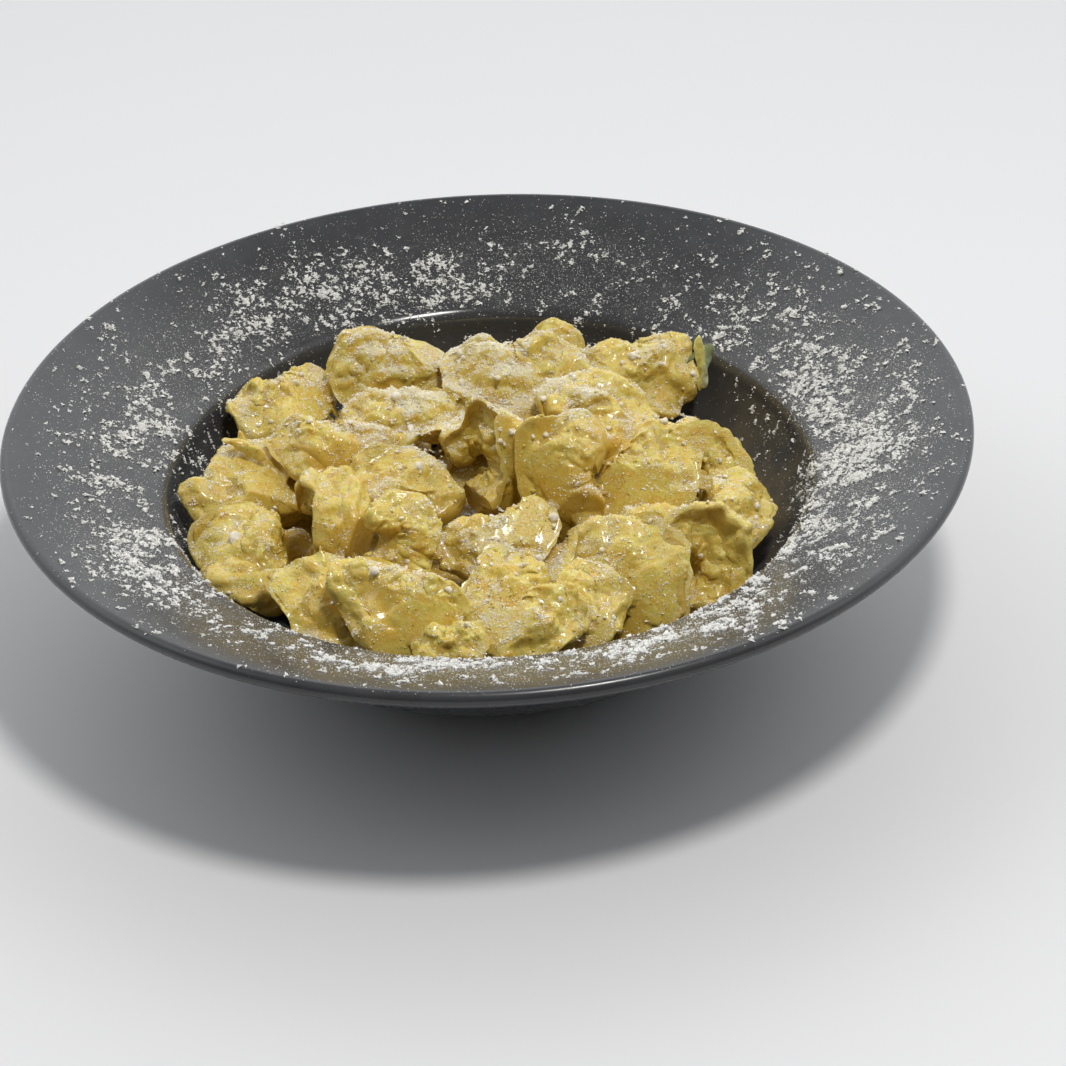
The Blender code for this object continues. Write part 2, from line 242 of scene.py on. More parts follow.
def gridFaces(rings, around):
    # Faces of a closed skin: a fan of triangles at each end and quads between the rings.
    spot = np.arange(around)
    after = (spot + 1) % around
    last = rings * around + 1
    tail = last - around
    ends = [np.stack([0 * spot, 1 + spot, 1 + after], 1),
            np.stack([tail + spot, 0 * spot + last, tail + after], 1)]
    return [ringQuads(rings, around, 1), np.concatenate(ends)]


def gridNormals(points, rings, around):
    # Outward normals of such a skin: slope along the rings crossed with slope round them.
    grid = points[1:-1].reshape(rings, around, 3)
    along = np.gradient(grid, axis=0)
    across = np.roll(grid, -1, 1) - np.roll(grid, 1, 1)
    normal = np.cross(along, across)
    normal /= np.maximum(np.linalg.norm(normal, axis=2, keepdims=True), 1e-9)
    ends = [points[0] - points[1:around + 1].mean(0), points[-1] - points[-around - 1:-1].mean(0)]
    ends = [end / max(np.linalg.norm(end), 1e-9) for end in ends]
    return np.concatenate([ends[:1], normal.reshape(-1, 3), ends[1:]])


# The bowl: a wide sloping rim round a rounded well. All in millimetres.
bowl = {
    "shoulderRadius": 90.8, "shoulderHeight": 42.0, "shoulderRound": 5.0,
    "floorRadius": 46.0, "floorHeight": 8.0, "wall": 4.6,
    "rimThick": 4.2, "footRadius": 62.0, "footWidth": 5.5, "footRound": 1.2,
    "steps": 256, "between": 6,
    "grey": (0.047, 0.048, 0.051), "roughness": 0.24,
    # Grated cheese across the rim, as dust and in clumps: radii, then shares there.
    "dustBand": ((80, 86, 92, 97, 106, 113, 119, 126, 134),
                 (0.0, 0.14, 0.5, 0.95, 1.0, 0.72, 0.5, 0.26, 0.06)),
    "clumpBand": ((82, 88, 93, 97, 108, 114, 119, 126, 134),
                  (0.0, 0.16, 0.5, 1.0, 1.0, 0.5, 0.26, 0.14, 0.05)),
    # Heavier drifts round the rim: direction and half width in degrees, extra share.
    "drifts": ((-3.0, 26.0, 0.84), (136.0, 24.0, 0.14), (-156.0, 14.0, 0.42), (155.0, 18.0, 0.18),
               (-103.0, 10.0, 0.28), (-62.0, 20.0, 0.34), (78.0, 18.0, 0.32), (52.0, 9.0, -0.10)),
    "evenShare": 0.40,
    # Painted reflection of the pasta on the well's wall: its direction, and degrees off it from
    # none to full.
    # Painted reflection of the pasta on the front rim: y from none to full, and its share. Half
    # width of the sheen.
    "reflectionAt": -6.0, "reflectionSpan": (60.0, 10.0), "frontReflectionSpan": (-60.0, -95.0), "frontReflectionShare": 0.6,
    "sheenWidth": 3.5,
    # Colours of the thin film by the dust, of the brown painted reflection of the pasta, and of the
    # dust.
    "film": (0.42, 0.42, 0.38), "paintedReflection": (0.26, 0.19, 0.06), "dust": (0.66, 0.65, 0.60),
}
rimRadius = cadBox[1][0] / mm
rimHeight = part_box("bowl")[1][2] / mm
rimSlope = (rimHeight - bowl["shoulderHeight"] - 1.6) / (rimRadius - bowl["shoulderRadius"] - 4.0)


def wallPoint(angle, offset):
    # The well's wall: a quarter ellipse from floor to shoulder, angle in degrees.
    turn = math.radians(angle)
    across = bowl["shoulderRadius"] - bowl["floorRadius"] + offset
    down = bowl["shoulderHeight"] - bowl["floorHeight"] + offset
    return (bowl["floorRadius"] + across * math.sin(turn),
            bowl["shoulderHeight"] - down * math.cos(turn))


def bowlProfile():
    # Radius and height, up the inside, over the lip and down the outside to the foot.
    shoulder, top = bowl["shoulderRadius"], bowl["shoulderHeight"]
    angles = (16.0, 32.0, 48.0, 64.0, 78.0)
    line = [(0.0, bowl["floorHeight"]), (bowl["floorRadius"], bowl["floorHeight"])]
    line += [wallPoint(angle, 0.0) for angle in angles]
    line += [(shoulder + 0.6, top - 1.2), (shoulder + 0.4 * bowl["shoulderRound"], top + 0.3),
             (shoulder + bowl["shoulderRound"], top + 1.8), (rimRadius - 3.6, rimHeight - 0.5),
             (rimRadius - 1.9, rimHeight), (rimRadius - 0.4, rimHeight - 0.9),
             (rimRadius, rimHeight - 2.4), (rimRadius - 1.0, rimHeight - 4.0)]
    under = rimHeight - bowl["rimThick"] - rimSlope * (rimRadius - shoulder - bowl["shoulderRound"])
    line.append((shoulder + bowl["shoulderRound"] + 1.5, under))
    line += [wallPoint(angle, bowl["wall"]) for angle in reversed(angles[1:])]
    foot, footIn = bowl["footRadius"], bowl["footRadius"] - bowl["footWidth"]
    lift, bottom = bowl["footRound"], bowl["floorHeight"] - bowl["wall"]
    line += [(foot + 0.6, wallPoint(21.0, bowl["wall"])[1] + 0.4), (foot, lift), (foot - lift, 0.0),
             (footIn + lift, 0.0), (footIn, lift), (footIn - 1.0, bottom + 0.6), (0.0, bottom)]
    return np.array(line)


def smoothLine(line, between):
    # A curve through every point of the line: cubic pieces whose slope at each point is
    # set by its two neighbours and held down where the neighbours are far apart.
    step = np.linalg.norm(np.diff(line, axis=0), axis=1)
    way = np.diff(line, axis=0) / step[:, None]
    turning = way[:-1] * step[1:, None] + way[1:] * step[:-1, None]
    slope = np.concatenate([way[:1], turning, way[-1:]])
    slope /= np.linalg.norm(slope, axis=1, keepdims=True)
    share = (np.arange(between) / between)[None, :, None]
    reach = np.minimum(step, 14.0)[:, None, None]
    start, end = line[:-1, None], line[1:, None]
    out, back = slope[:-1, None] * reach, slope[1:, None] * reach
    curve = ((2 * share**3 - 3 * share**2 + 1) * start + (share**3 - 2 * share**2 + share) * out
             + (3 * share**2 - 2 * share**3) * end + (share**3 - share**2) * back)
    return np.concatenate([curve.reshape(-1, 2), line[-1:]])


def insideRadius(height):
    # The well's inner radius at each height: the ellipse, then the sloping rim.
    share = (bowl["shoulderHeight"] - height) / (bowl["shoulderHeight"] - bowl["floorHeight"])
    across = bowl["shoulderRadius"] - bowl["floorRadius"]
    wall = bowl["floorRadius"] + across * np.sqrt(1.0 - np.clip(share, 0.0, 1.0) ** 2)
    return wall + np.maximum(height - bowl["shoulderHeight"], 0.0) / rimSlope * 0.9


def insideHeight(radius):
    # Height of the bowl's upper surface at each radius, read off the same profile.
    line = smoothLine(bowlProfile(), bowl["between"])
    top = line[: int(line[:, 1].argmax()) + 1]
    return np.interp(radius, top[:, 0], top[:, 1])


def cheeseShare(x, y, band=bowl["dustBand"]):
    # How thickly the rim is dusted: the band's share at this radius times an even share
    # plus a bell curve round the middle of each drift.
    radius, way = np.hypot(x, y), np.degrees(np.arctan2(y, x))
    share = np.full_like(radius, bowl["evenShare"])
    for middle, width, extra in bowl["drifts"]:
        off = (way - middle + 180.0) % 360.0 - 180.0
        share += extra * np.exp(-((off / width) ** 2))
    return share * np.interp(radius, *band)


def glazeFinish():
    # Satin glaze, smoother on the shoulder, with faint mottling, fine cheese dust, a pale film
    # where the dust lies, and a brown painted reflection of the pasta on the well's wall and the
    # front rim.
    finish = Finish("greyGlaze")
    mottle = finish.noise(16.0, 4.0).ramp(0.35, 0.65)
    grey = mottle.mix(bowl["grey"], tuple(1.16 * part for part in bowl["grey"]))
    dust, paintedReflection, sheen = finish.mark("dust"), finish.mark("paintedReflection"), finish.mark("sheen")
    fine = finish.noise(0.55, 2.0, 0.7).ramp(0.62, 0.70) * dust.ramp(0.05, 0.8)
    film = finish.noise(7.0, 5.0, 0.6).ramp(0.45, 0.75) * dust * 0.10
    grey = film.mix(grey, bowl["film"])
    # Brown painted reflection of the pasta, on the well's wall to the right and on the front rim.
    thin = finish.noise(11.0, 4.0, 0.6).ramp(0.3, 0.7, 0.12, 1.0) * paintedReflection * 0.32
    grey = thin.mix(grey, bowl["paintedReflection"])
    finish.feed(Base_Color=(fine * 0.75).mix(grey, bowl["dust"]))
    rough = bowl["roughness"]
    rough = fine * 0.5 + finish.noise(5.0, 3.0).ramp(0.3, 0.7, rough - 0.03, rough + 0.05)
    finish.feed(Roughness=rough - sheen * 0.11)
    finish.feed(Normal=finish.bump(finish.noise(9.0, 2.0), 0.05, 0.25))
    return finish.material


def makeBowl():
    # The profile turned round the axis, with marks for cheese dust, a painted reflection of the
    # pasta and sheen.
    line = smoothLine(bowlProfile(), bowl["between"])
    line[:, 1] = np.maximum(line[:, 1], 0.0)
    line[:, 0] = np.minimum(line[:, 0], rimRadius)
    line[:, 1] = np.minimum(line[:, 1], rimHeight)
    body = line[1:-1][::-1]
    skin = polar(body[:, :1], evenTurns(bowl["steps"]), body[:, 1:]).reshape(-1, 3)
    points = np.concatenate([[[0.0, 0.0, line[-1, 1]]], skin, [[0.0, 0.0, line[0, 1]]]])
    faces = [block[:, ::-1] for block in gridFaces(len(body), bowl["steps"])]
    x, y, z = points.T
    radius = np.hypot(x, y)
    above = z > np.interp(radius, (0, 90, 135), (5.0, 38.0, 59.0))  # the upper skin only
    dust = np.where(above, cheeseShare(x, y), 0.0)
    # Painted reflection of the pasta: on the well's wall to the right, and on the front rim where
    # the dust lies.
    away = np.abs((np.degrees(np.arctan2(y, x)) - bowl["reflectionAt"] + 180.0) % 360.0 - 180.0)
    inside = (z > 20.0) & (z > insideHeight(radius) - 1.0)
    wall = smoothStep(radius, 96.0, 86.0) * smoothStep(away, *bowl["reflectionSpan"]) * inside
    front = dust * smoothStep(y, *bowl["frontReflectionSpan"]) * bowl["frontReflectionShare"]
    paintedReflection = np.maximum(wall, front)
    sheen = np.exp(-(((radius - bowl["shoulderRadius"]) / bowl["sheenWidth"]) ** 2))
    sheen = sheen * (z > bowl["shoulderHeight"] - 3.0)
    marks = {"dust": dust, "paintedReflection": paintedReflection, "sheen": sheen}
    putMesh("bowlTurned", points, faces, glazeFinish(), "grey_glaze", marks, ["bowl"])


makeBowl()
report("bowl")


# The dumplings. Each kind: half angle of the crescent (degrees), radius of its middle
# line, belly width and height, width at the tips, flap height, flap seat (degrees from
# the top), flap bend, ruffle and rise from tip to tip, all else in millimetres.
dough = {
    "kinds": {
        "pillow": (100.0, 6.8, 9.6, 7.6, 5.2, 7.0, 75.0, -0.25, 1.6, 2.0),
        "ring": (160.0, 9.0, 8.0, 7.0, 5.2, 6.0, 30.0, 0.2, 1.6, 6.0),
        "curl": (118.0, 10.5, 7.0, 6.6, 6.0, 3.2, 30.0, 0.1, 0.8, 2.0),
        "fan": (92.0, 7.2, 7.4, 6.0, 4.4, 12.0, 80.0, -0.3, 2.4, 1.0),
        "frill": (66.0, 14.0, 7.8, 6.6, 5.4, 8.0, 84.0, 0.2, 3.0, 0.5),
    },
    "coarseAlong": (-0.95, -0.8, -0.6, -0.4, -0.2, 0.0, 0.2, 0.4, 0.6, 0.8, 0.95),
    "coarseAround": (0.0, 0.3, 0.5, 0.75, 1.0, -0.75, -0.5, -0.3),
    "rings": 88, "around": 116, "hiddenRings": 60, "hiddenAround": 76,
    "flapShare": 0.3, "flapFoot": 0.3, "flapThick": 1.7, "flapFillet": 1.6, "roundTip": 0.8,
    "ragged": 0.40, "frills": 1.5, "folds": 1.1, "broad": 1.1, "swells": 0.8, "lumps": 0.42,
    "grain": 0.2, "drawnIn": 0.965,
    # Dumplings, by number, that show more or less bare dough, and more or less painted shade.
    "smooth": {5: 0.6, 6: 0.45, 8: 0.4, 9: 0.45, 12: 0.1, 13: 0.2, 16: -0.3, 20: 0.2, 21: 0.6,
               22: 0.2, 25: 0.2},
    "extraShade": {2: -0.45, 4: 0.36, 5: 0.15, 6: 0.12, 7: 0.12, 9: -0.2, 13: 0.36, 14: 0.24, 16: 0.1,
               17: -0.15, 19: 0.15, 21: 0.20, 25: 0.1},
    # Powdery cheese gathers here: centre across and back, half width and depth, extra.
    "drifts": ((-10.0, 37.0, 42.0, 28.0, 0.8), (-31.0, 54.0, 13.0, 9.0, 0.35),
               (2.0, -36.0, 13.0, 8.0, 0.5)),
    "cream": (0.83, 0.66, 0.14), "deep": (0.76, 0.55, 0.085), "pale": (0.87, 0.77, 0.33),
    "brown": (0.52, 0.33, 0.05), "lemon": (0.78, 0.70, 0.16), "orange": (0.80, 0.50, 0.07),
    "curd": (0.86, 0.78, 0.46), "golden": (0.72, 0.45, 0.06), "amber": (0.82, 0.59, 0.12),
    # On the next line, the third colour is the dark golden brown of painted shade.
    "edge": (0.84, 0.68, 0.22), "powder": (0.90, 0.85, 0.68), "shadeColour": (0.50, 0.31, 0.035),
    "pepper": (0.13, 0.095, 0.03),
    # Torn fingers: path through points, width along it, thickness.
    "fingers": (
        (((-31, 20, 43), (-31, 16.5, 41), (-31, 14.6, 37.5), (-31, 15, 34.5)),
         (4.0, 5.0, 5.0, 4.4), 4.0),
        (((-25, 19.5, 42), (-25.2, 16.5, 40), (-25, 14.8, 37), (-25, 15.0, 34.5)),
         (3.6, 4.0, 4.4, 3.8), 3.8),
        (((-37.5, 20, 40), (-37.5, 17, 39.3), (-37.5, 15, 38.5)), (7.5, 8.2, 7.6), 6.5),
        (((-64, 8, 43), (-68, 10, 45.5), (-72, 11, 47), (-76, 11.5, 48)),
         (5.0, 3.6, 2.6, 0.8), 3.0),
        (((-68, 10, 44), (-70, 12, 46.5), (-71, 14, 49.5)), (3.6, 2.8, 1.0), 2.4),
    ),
}

# The heap: place of each middle (millimetres), compass direction of the belly, lean of
# the crescent's axis from upright, compass direction it leans to (degrees), size, kind.
heap = (
    (-57, 44, 39, -60, 20, -60, 1.08, "fan"),
    (-29, 52, 41, 250, 62, -95, 1.25, "pillow"),
    (-24, 25, 41, -95, 15, -90, 1.05, "frill"),
    (-67, 5, 40, 115, 22, -60, 1.04, "fan"),
    (-45, 11, 38, -100, 35, -90, 1.12, "pillow"),
    (-38, -27, 36, -40, 62, -160, 1.08, "ring"),
    (-68, -25, 32, 200, 20, -80, 1.04, "fan"),
    (-47, -53, 31, 195, 40, -90, 1.04, "pillow"),
    (-24, -62, 32, 250, 40, -90, 1.20, "pillow"),
    (-11, -73, 30, -90, 35, -90, 0.62, "pillow"),
    (-1, -54, 35, 150, 30, -90, 0.95, "fan"),
    (5, -68, 31, -80, 35, -90, 1.15, "pillow"),
    (-23, 1, 37, 90, 20, -90, 1.10, "pillow"),
    (-1, -1, 43, 0, 50, -130, 1.00, "ring"),
    (-23, -31, 37, 10, 125, 90, 0.92, "ring"),
    (-5, -31, 34, -75, 25, -90, 1.05, "frill"),
    (6, 37, 43, -90, 30, -90, 1.42, "pillow"),
    (22, 62, 43, 90, 60, -90, 0.74, "pillow"),
    (46, 52, 37, -70, 35, -60, 1.20, "pillow"),
    (33, 25, 42, 45, 20, -90, 1.15, "pillow"),
    (21, -8, 42, 185, 120, 92, 1.20, "pillow"),
    (42, -8, 37, -40, 35, -90, 1.20, "pillow"),
    (61, -1, 34, 20, 50, -70, 1.10, "curl"),
    (64, -18, 31, -10, 20, -60, 0.95, "pillow"),
    (38, -51, 35, 10, 50, -120, 1.10, "fan"),
    (56, -41, 32, -20, 45, -80, 1.12, "ring"),
    (22, -60, 31, -30, 30, -90, 0.95, "pillow"),
    (47, -27, 32, 90, 60, -90, 0.95, "curl"),
    (20, -33, 33, -60, 20, -90, 0.80, "pillow"),
    (-60, 20, 21, 120, 15, 60, 0.95, "pillow"),
    (-52, -18, 21, 40, 10, 0, 0.95, "pillow"),
    (-10, 64, 21, 80, 15, 90, 1.00, "pillow"),
    (-41, 57, 21, 120, 15, 120, 0.95, "ring"),
    (55, 30, 21, 30, 15, 30, 1.00, "pillow"),
    (24, 66, 21, 60, 15, 70, 0.95, "ring"),
    (60, -15, 20, -20, 10, -20, 0.78, "pillow"),
    (8, 12, 21, 0, 10, 0, 1.00, "pillow"),
    (22, -46, 20, -60, 10, -60, 0.90, "pillow"),
    (-34, -38, 21, -120, 10, -120, 0.90, "pillow"),
    (-26, 26, 21, 150, 10, 150, 1.00, "pillow"),
)
settling = {
    "gap": 0.16, "softDepth": 1.2, "wallGap": 0.7, "bedGap": 0.6, "upperKeeps": 0.65, "squeezes": 6,
    "deepest": 3.5, "upperCount": 29, "upperYields": 0.3, "steps": 14, "catchers": 35,
    "bedRadius": 65.0, "bedTop": 16.0, "bedEdge": 13.0, "creaseGap": 0.3, "creaseSoft": 2.2,
}


def bedHeight(x, y):
    # Top of the sauce under the heap: a low dome with soft, uneven swells.
    dome = settling["bedEdge"] + (settling["bedTop"] - settling["bedEdge"]) * (
        1.0 - (np.hypot(x, y) / settling["bedRadius"]) ** 2)
    return dome + 0.5 * np.sin(x / 6.5 + 0.8) * np.cos(y / 7.5) + 0.35 * np.sin((x + y) / 8.5)


def unevenness(points, seed, size):
    # A slow wandering of the dough: three sine waves in chosen directions for each axis.
    pick = np.random.RandomState(seed)
    shift = np.zeros_like(points)
    for wave in (17.0, 12.0, 8.5):
        for axis in range(3):
            way = pick.normal(size=3)
            way /= np.linalg.norm(way)
            phase = pick.uniform(0.0, 2.0 * math.pi)
            shift[:, axis] += wave / 17.0 * np.sin(points @ way * 2.0 * math.pi / wave + phase)
    return points + size * shift


def doughRadius(angle, out, inner, tall):
    # From a ring's middle to its skin: half an ellipse outwards, a flatter half inwards.
    wide = np.where(np.cos(angle) > 0.0, out, inner)
    return 1.0 / np.hypot(np.cos(angle) / wide, np.sin(angle) / tall)


def dumpling(kind, size, seed, along, around, fine):
    # Lopsided ellipses square to a crescent, shrinking to its tips; near one angle each
    # runs out along one side of a thin flap and back along the other. The fine skin has
    # pleats across the crescent and a ragged, frilled flap. Gives points and flap share.
    half, middle, width, height, tip, flap, seat, bend, ruffle, rise = dough["kinds"][kind]
    pick = np.random.RandomState(seed)
    width, height, flap = np.array([width, height, flap]) * pick.uniform(0.92, 1.1, 3)
    phase = pick.uniform(0.0, 6.28, 3)
    along, around = np.array(along)[:, None], np.array(around)[None, :]
    whole = along + 0.0 * around
    side = np.sign(around)
    half = math.radians(half)
    past = np.clip((np.abs(along) - dough["roundTip"]) / (1.0 - dough["roundTip"]), 0.0, 1.0)
    shrink = np.sqrt(1.0 - past**2)
    belly = np.cos(0.5 * math.pi * along) ** 1.2
    out = (tip + (width - tip) * belly) * shrink
    tall = (tip + (height - tip) * belly) * shrink
    inner = np.minimum(out, 0.86 * middle)
    seat = 0.5 * math.pi - math.radians(seat)
    flapShare, flapFoot = dough["flapShare"], dough["flapFoot"]

    # The body, from one foot of the flap round to the other.
    share = np.clip((np.abs(around) - flapShare) / (1.0 - flapShare), 0.0, 1.0)
    angle = seat + side * (flapFoot + share * (math.pi - flapFoot))
    radius = doughRadius(angle, out, inner, tall)
    if fine:  # pleats that run round the body, deepest near the tips
        turn = angle + 0.0 * along
        spot = np.stack([0.8 * np.cos(turn), 0.8 * np.sin(turn), whole * half * middle / 3.4], -1)
        pleat = lattice(spot.reshape(-1, 3), 1.0, seed + 40).reshape(turn.shape)
        deep = np.exp(-((np.abs(pleat) / 0.22) ** 2))
        depth = dough["folds"] * shrink * (0.45 + 0.75 * np.abs(along)) * np.minimum(share * 4, 1)
        radius = radius - depth * deep
    outward, upward = radius * np.cos(angle), radius * np.sin(angle)

    # The flap: height along the crescent, half thickness, and its sideways sway.
    across = np.clip(np.abs(around) / flapShare, 0.0, 1.0)
    crest = flap * (1.0 - 0.8 * np.abs(along) ** 2.4) * shrink
    crest = crest * (1.0 + 0.14 * np.sin(7.0 * along + phase[0]))
    frill = 0.0
    if fine:
        line = np.concatenate([along * half * middle, 0 * along, 0 * along], 1)
        torn = lattice(line, 4.6, seed + 60) + 0.6 * lattice(line, 2.0, seed + 61)
        crest = crest * (1.0 + dough["ragged"] * torn[:, None])
        frill = dough["frills"] * lattice(line, 3.6, seed + 70)[:, None] * shrink
    stand = 1.0 - across**1.6
    thin = dough["flapThick"] * shrink * ((1.0 - 0.2 * stand) if fine else 1.0)
    foot = doughRadius(seat + flapFoot + 0.0 * along, out, inner, tall) * math.sin(flapFoot)
    thick = thin + np.maximum(foot - thin, 0.0) * np.exp(-crest * stand / dough["flapFillet"])
    thick = thick * side * (1.0 - (1.0 - across) ** (6 if fine else 3))
    sway = bend * crest * stand**2
    sway = sway + ruffle * shrink * stand**1.4 * np.sin(8.0 * along + phase[1]) + frill * stand**1.2
    lift = doughRadius(seat + 0.0 * along, out, inner, tall) * math.cos(flapFoot) + crest * stand
    over = np.where(share > 0.0, 0.0, 1.0 - across**6)
    outward = outward + over * (math.cos(seat) * lift - math.sin(seat) * (thick + sway) - outward)
    upward = upward + over * (math.sin(seat) * lift + math.cos(seat) * (thick + sway) - upward)

    reach = middle + outward
    turn = half * along
    skin = polar(reach, turn, 0.5 * rise * along + upward).reshape(-1, 3)
    ends = np.array([-1.0, 1.0])
    tips = polar(middle, half * ends, 0.5 * rise * ends)
    points = unevenness(np.concatenate([tips[:1], skin, tips[1:]]), seed + 500, 0.7) * size
    onFlap = np.concatenate([[0.0], (over * stand * (shrink + 0.0 * around)).ravel(), [0.0]])
    return points, onFlap


def turned(points, belly, lean, toward):
    # Turns the belly to its compass direction and leans the crescent's axis over.
    for axis, degrees in ((2, belly - toward), (1, lean), (2, toward)):
        cos, sin = math.cos(math.radians(degrees)), math.sin(math.radians(degrees))
        first, second = ((0, 1), (2, 0))[axis == 1]
        moved = points.copy()
        moved[:, first] = cos * points[:, first] - sin * points[:, second]
        moved[:, second] = sin * points[:, first] + cos * points[:, second]
        points = moved
    return points


def giveWay(depth, gap=settling["gap"], reach=settling["softDepth"]):
    # How far dough backs off at this depth past a surface, never crossing itself.
    soft = reach - gap
    near = np.maximum(depth, -reach) + reach
    settledAt = -gap - soft * np.exp(-near / soft)
    return np.where(depth > -reach, depth - settledAt, 0.0)


def squeezed(points, planes, *crease):
    # The dumpling pressed against its neighbours' planes, the bowl's wall and the bed.
    points = points.copy()
    for _ in range(settling["squeezes"]):
        radius = radiusOf(points)
        back = giveWay(radius - insideRadius(points[:, 2]) + settling["wallGap"])
        points[:, :2] *= (1.0 - back / np.maximum(radius, 1.0))[:, None]
        floor = bedHeight(points[:, 0], points[:, 1]) + settling["bedGap"]
        points[:, 2] += giveWay(floor - points[:, 2])
        for normal, offset in planes:
            points = points - giveWay(points @ normal - offset, *crease)[:, None] * normal
    return points


def directions(count):
    # Unit vectors spread evenly over a sphere, along a spiral from pole to pole.
    rank = np.arange(count) + 0.5
    height = 1.0 - 2.0 * rank / count
    turn = math.pi * (1.0 + math.sqrt(5.0)) * rank
    return polar(np.sqrt(1.0 - height**2), turn, height)


def contactPlane(first, second):
    # The plane between two dumplings along the way that needs the least squeezing.
    ways = directions(400)
    ways = ways[ways @ (second.mean(0) - first.mean(0)) > 0.0]
    near = (second @ ways.T).min(0)
    depth = (first @ ways.T).max(0) - near
    best = int(depth.argmin())
    keeps = settling["upperKeeps"]
    if first[:, 2].mean() <= second[:, 2].mean():
        keeps = 1.0 - keeps
    return ways[best], near[best] + keeps * depth[best], depth[best]


def touching(skins, faces, grow=1.02):
    # Pairs of dumplings whose slightly grown skins cross.
    trees, boxes = [], []
    for skin in skins:
        centre = skin.mean(0)
        trees.append(BVHTree.FromPolygons((centre + (skin - centre) * grow).tolist(), faces))
        boxes.append((skin.min(0) - 1.0, skin.max(0) + 1.0))
    pairs = []
    for first in range(len(skins)):
        for second in range(first + 1, len(skins)):
            (lowA, highA), (lowB, highB) = boxes[first], boxes[second]
            near = (lowA < highB).all() and (lowB < highA).all()
            if near and trees[first].overlap(trees[second]):
                pairs.append((first, second))
    return pairs


def settledHeap(skins, faces):
    # Dumplings that sink too deep into each other move apart as whole bodies.
    for _ in range(settling["steps"]):
        push = [np.zeros(3) for _ in skins]
        for first, second in touching(skins, faces):
            normal, _, depth = contactPlane(skins[first], skins[second])
            excess = 0.5 * max(depth - settling["deepest"], 0.0)
            yields = [1.0 if k >= settling["upperCount"] else settling["upperYields"]
                      for k in (first, second)]
            push[first] = push[first] - excess * yields[0] / sum(yields) * normal
            push[second] = push[second] + excess * yields[1] / sum(yields) * normal
        moved = []
        for skin, shift in zip(skins, push):
            skin = skin + shift
            radius = radiusOf(skin)
            out = radius - insideRadius(skin[:, 2]) + settling["wallGap"]
            worst = int(out.argmax())
            inwards = -skin[worst, :2] / radius[worst]
            skin[:, :2] += max(out[worst] - settling["softDepth"], 0.0) * inwards
            sunk = (bedHeight(skin[:, 0], skin[:, 1]) + settling["bedGap"] - skin[:, 2]).max()
            skin[:, 2] += max(sunk - settling["softDepth"], 0.0)
            moved.append(skin)
        skins = moved
    return skins


def looseHeap(fine):
    # Every dumpling in its starting place: (points, flap share, rings, around).
    made = []
    for number, (x, y, z, belly, lean, toward, size, kind) in enumerate(heap, 1):
        along, around = dough["coarseAlong"], dough["coarseAround"]
        if fine:
            upper = number <= settling["upperCount"]
            rings = dough["rings"] if upper else dough["hiddenRings"]
            count = dough["around"] if upper else dough["hiddenAround"]
            along = 0.985 * np.linspace(-1.0, 1.0, rings + 2)[1:-1]
            around = np.linspace(-1.0, 1.0, count, endpoint=False) + 1e-9
        points, onFlap = dumpling(kind, size, number, along, around, fine)
        middle = dumpling(kind, size, number, dough["coarseAlong"], dough["coarseAround"], False)[0]
        points = points - 0.5 * (middle.min(0) + middle.max(0))
        points = turned(points, belly, lean, toward) + np.array([x, y, z], dtype=float)
        made.append((points, onFlap, len(along), len(around)))
    return made


def pressedHeap():
    # Coarse skins decide how far each dumpling moves and which planes it is pressed on.
    # The fine skins follow: drawn in, then swollen by soft random fields, then pressed.
    blocks = gridFaces(len(dough["coarseAlong"]), len(dough["coarseAround"]))
    coarseFaces = [face for block in blocks for face in block.tolist()]
    loose = [made[0] for made in looseHeap(False)]
    settledSkins = settledHeap(loose, coarseFaces)
    planes = [[] for _ in loose]
    done = set()
    skins = settledSkins
    for _ in range(settling["squeezes"]):
        for first, second in touching(skins, coarseFaces):
            if (first, second) in done:
                continue
            normal, offset, _ = contactPlane(skins[first], skins[second])
            planes[first].append((normal, offset))
            planes[second].append((-normal, -offset))
            done.add((first, second))
        skins = [squeezed(skin, own) for skin, own in zip(settledSkins, planes)]
    worst = 0.0
    for number, skin in enumerate(skins, 1):
        corners = np.array(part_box(f"tortellino_{number:02d}")) / mm
        worst = max(worst, np.abs(np.stack([skin.min(0), skin.max(0)]) - corners).max())
    print(f"dumplings agree with the frame to {worst:.3f} mm")
    shifts = [moved[0] - start[0] for moved, start in zip(settledSkins, loose)]
    fine = []
    for number, (points, onFlap, rings, around) in enumerate(looseHeap(True), 1):
        middle, shift = points.mean(0), shifts[number - 1]
        points = middle + dough["drawnIn"] * (points - middle) + shift
        normals = gridNormals(points, rings, around)
        field = fields(points, 7, (0.75, 9.0), (0.35, 4.0)) - 0.55 * normals[:, 2]
        field = field - 0.35 * onFlap + dough["smooth"].get(number, 0.0)
        bare = smoothStep(field, -0.1, 0.45)
        coat = 1.0 - 0.75 * bare
        lumps = 2.0 * np.abs(lattice(points, 2.3, 11)) + 0.5 * lattice(points, 1.2, 12) - 0.6
        swell = dough["broad"] * lattice(points, 6.5, 14)
        swell += dough["swells"] * coat * (2.0 * np.abs(lattice(points, 4.6, 15)) - 0.6)
        swell += coat * (dough["lumps"] * lumps + dough["grain"] * lattice(points, 0.8, 13))
        ends = np.minimum(1.0, np.minimum(np.arange(rings), np.arange(rings)[::-1]) / 6.0)
        taper = np.concatenate([[0.0], np.repeat(ends, around), [0.0]])
        points = points + (swell * taper * (1.0 - 0.25 * onFlap))[:, None] * normals
        skin = squeezed(points, planes[number - 1], settling["creaseGap"], settling["creaseSoft"])
        fine.append({"skin": skin, "normals": gridNormals(skin, rings, around), "bare": bare,
                     "flap": onFlap, "grid": (rings, around)})
    return fine


pieces = pressedHeap()
report("heap settled and pressed")


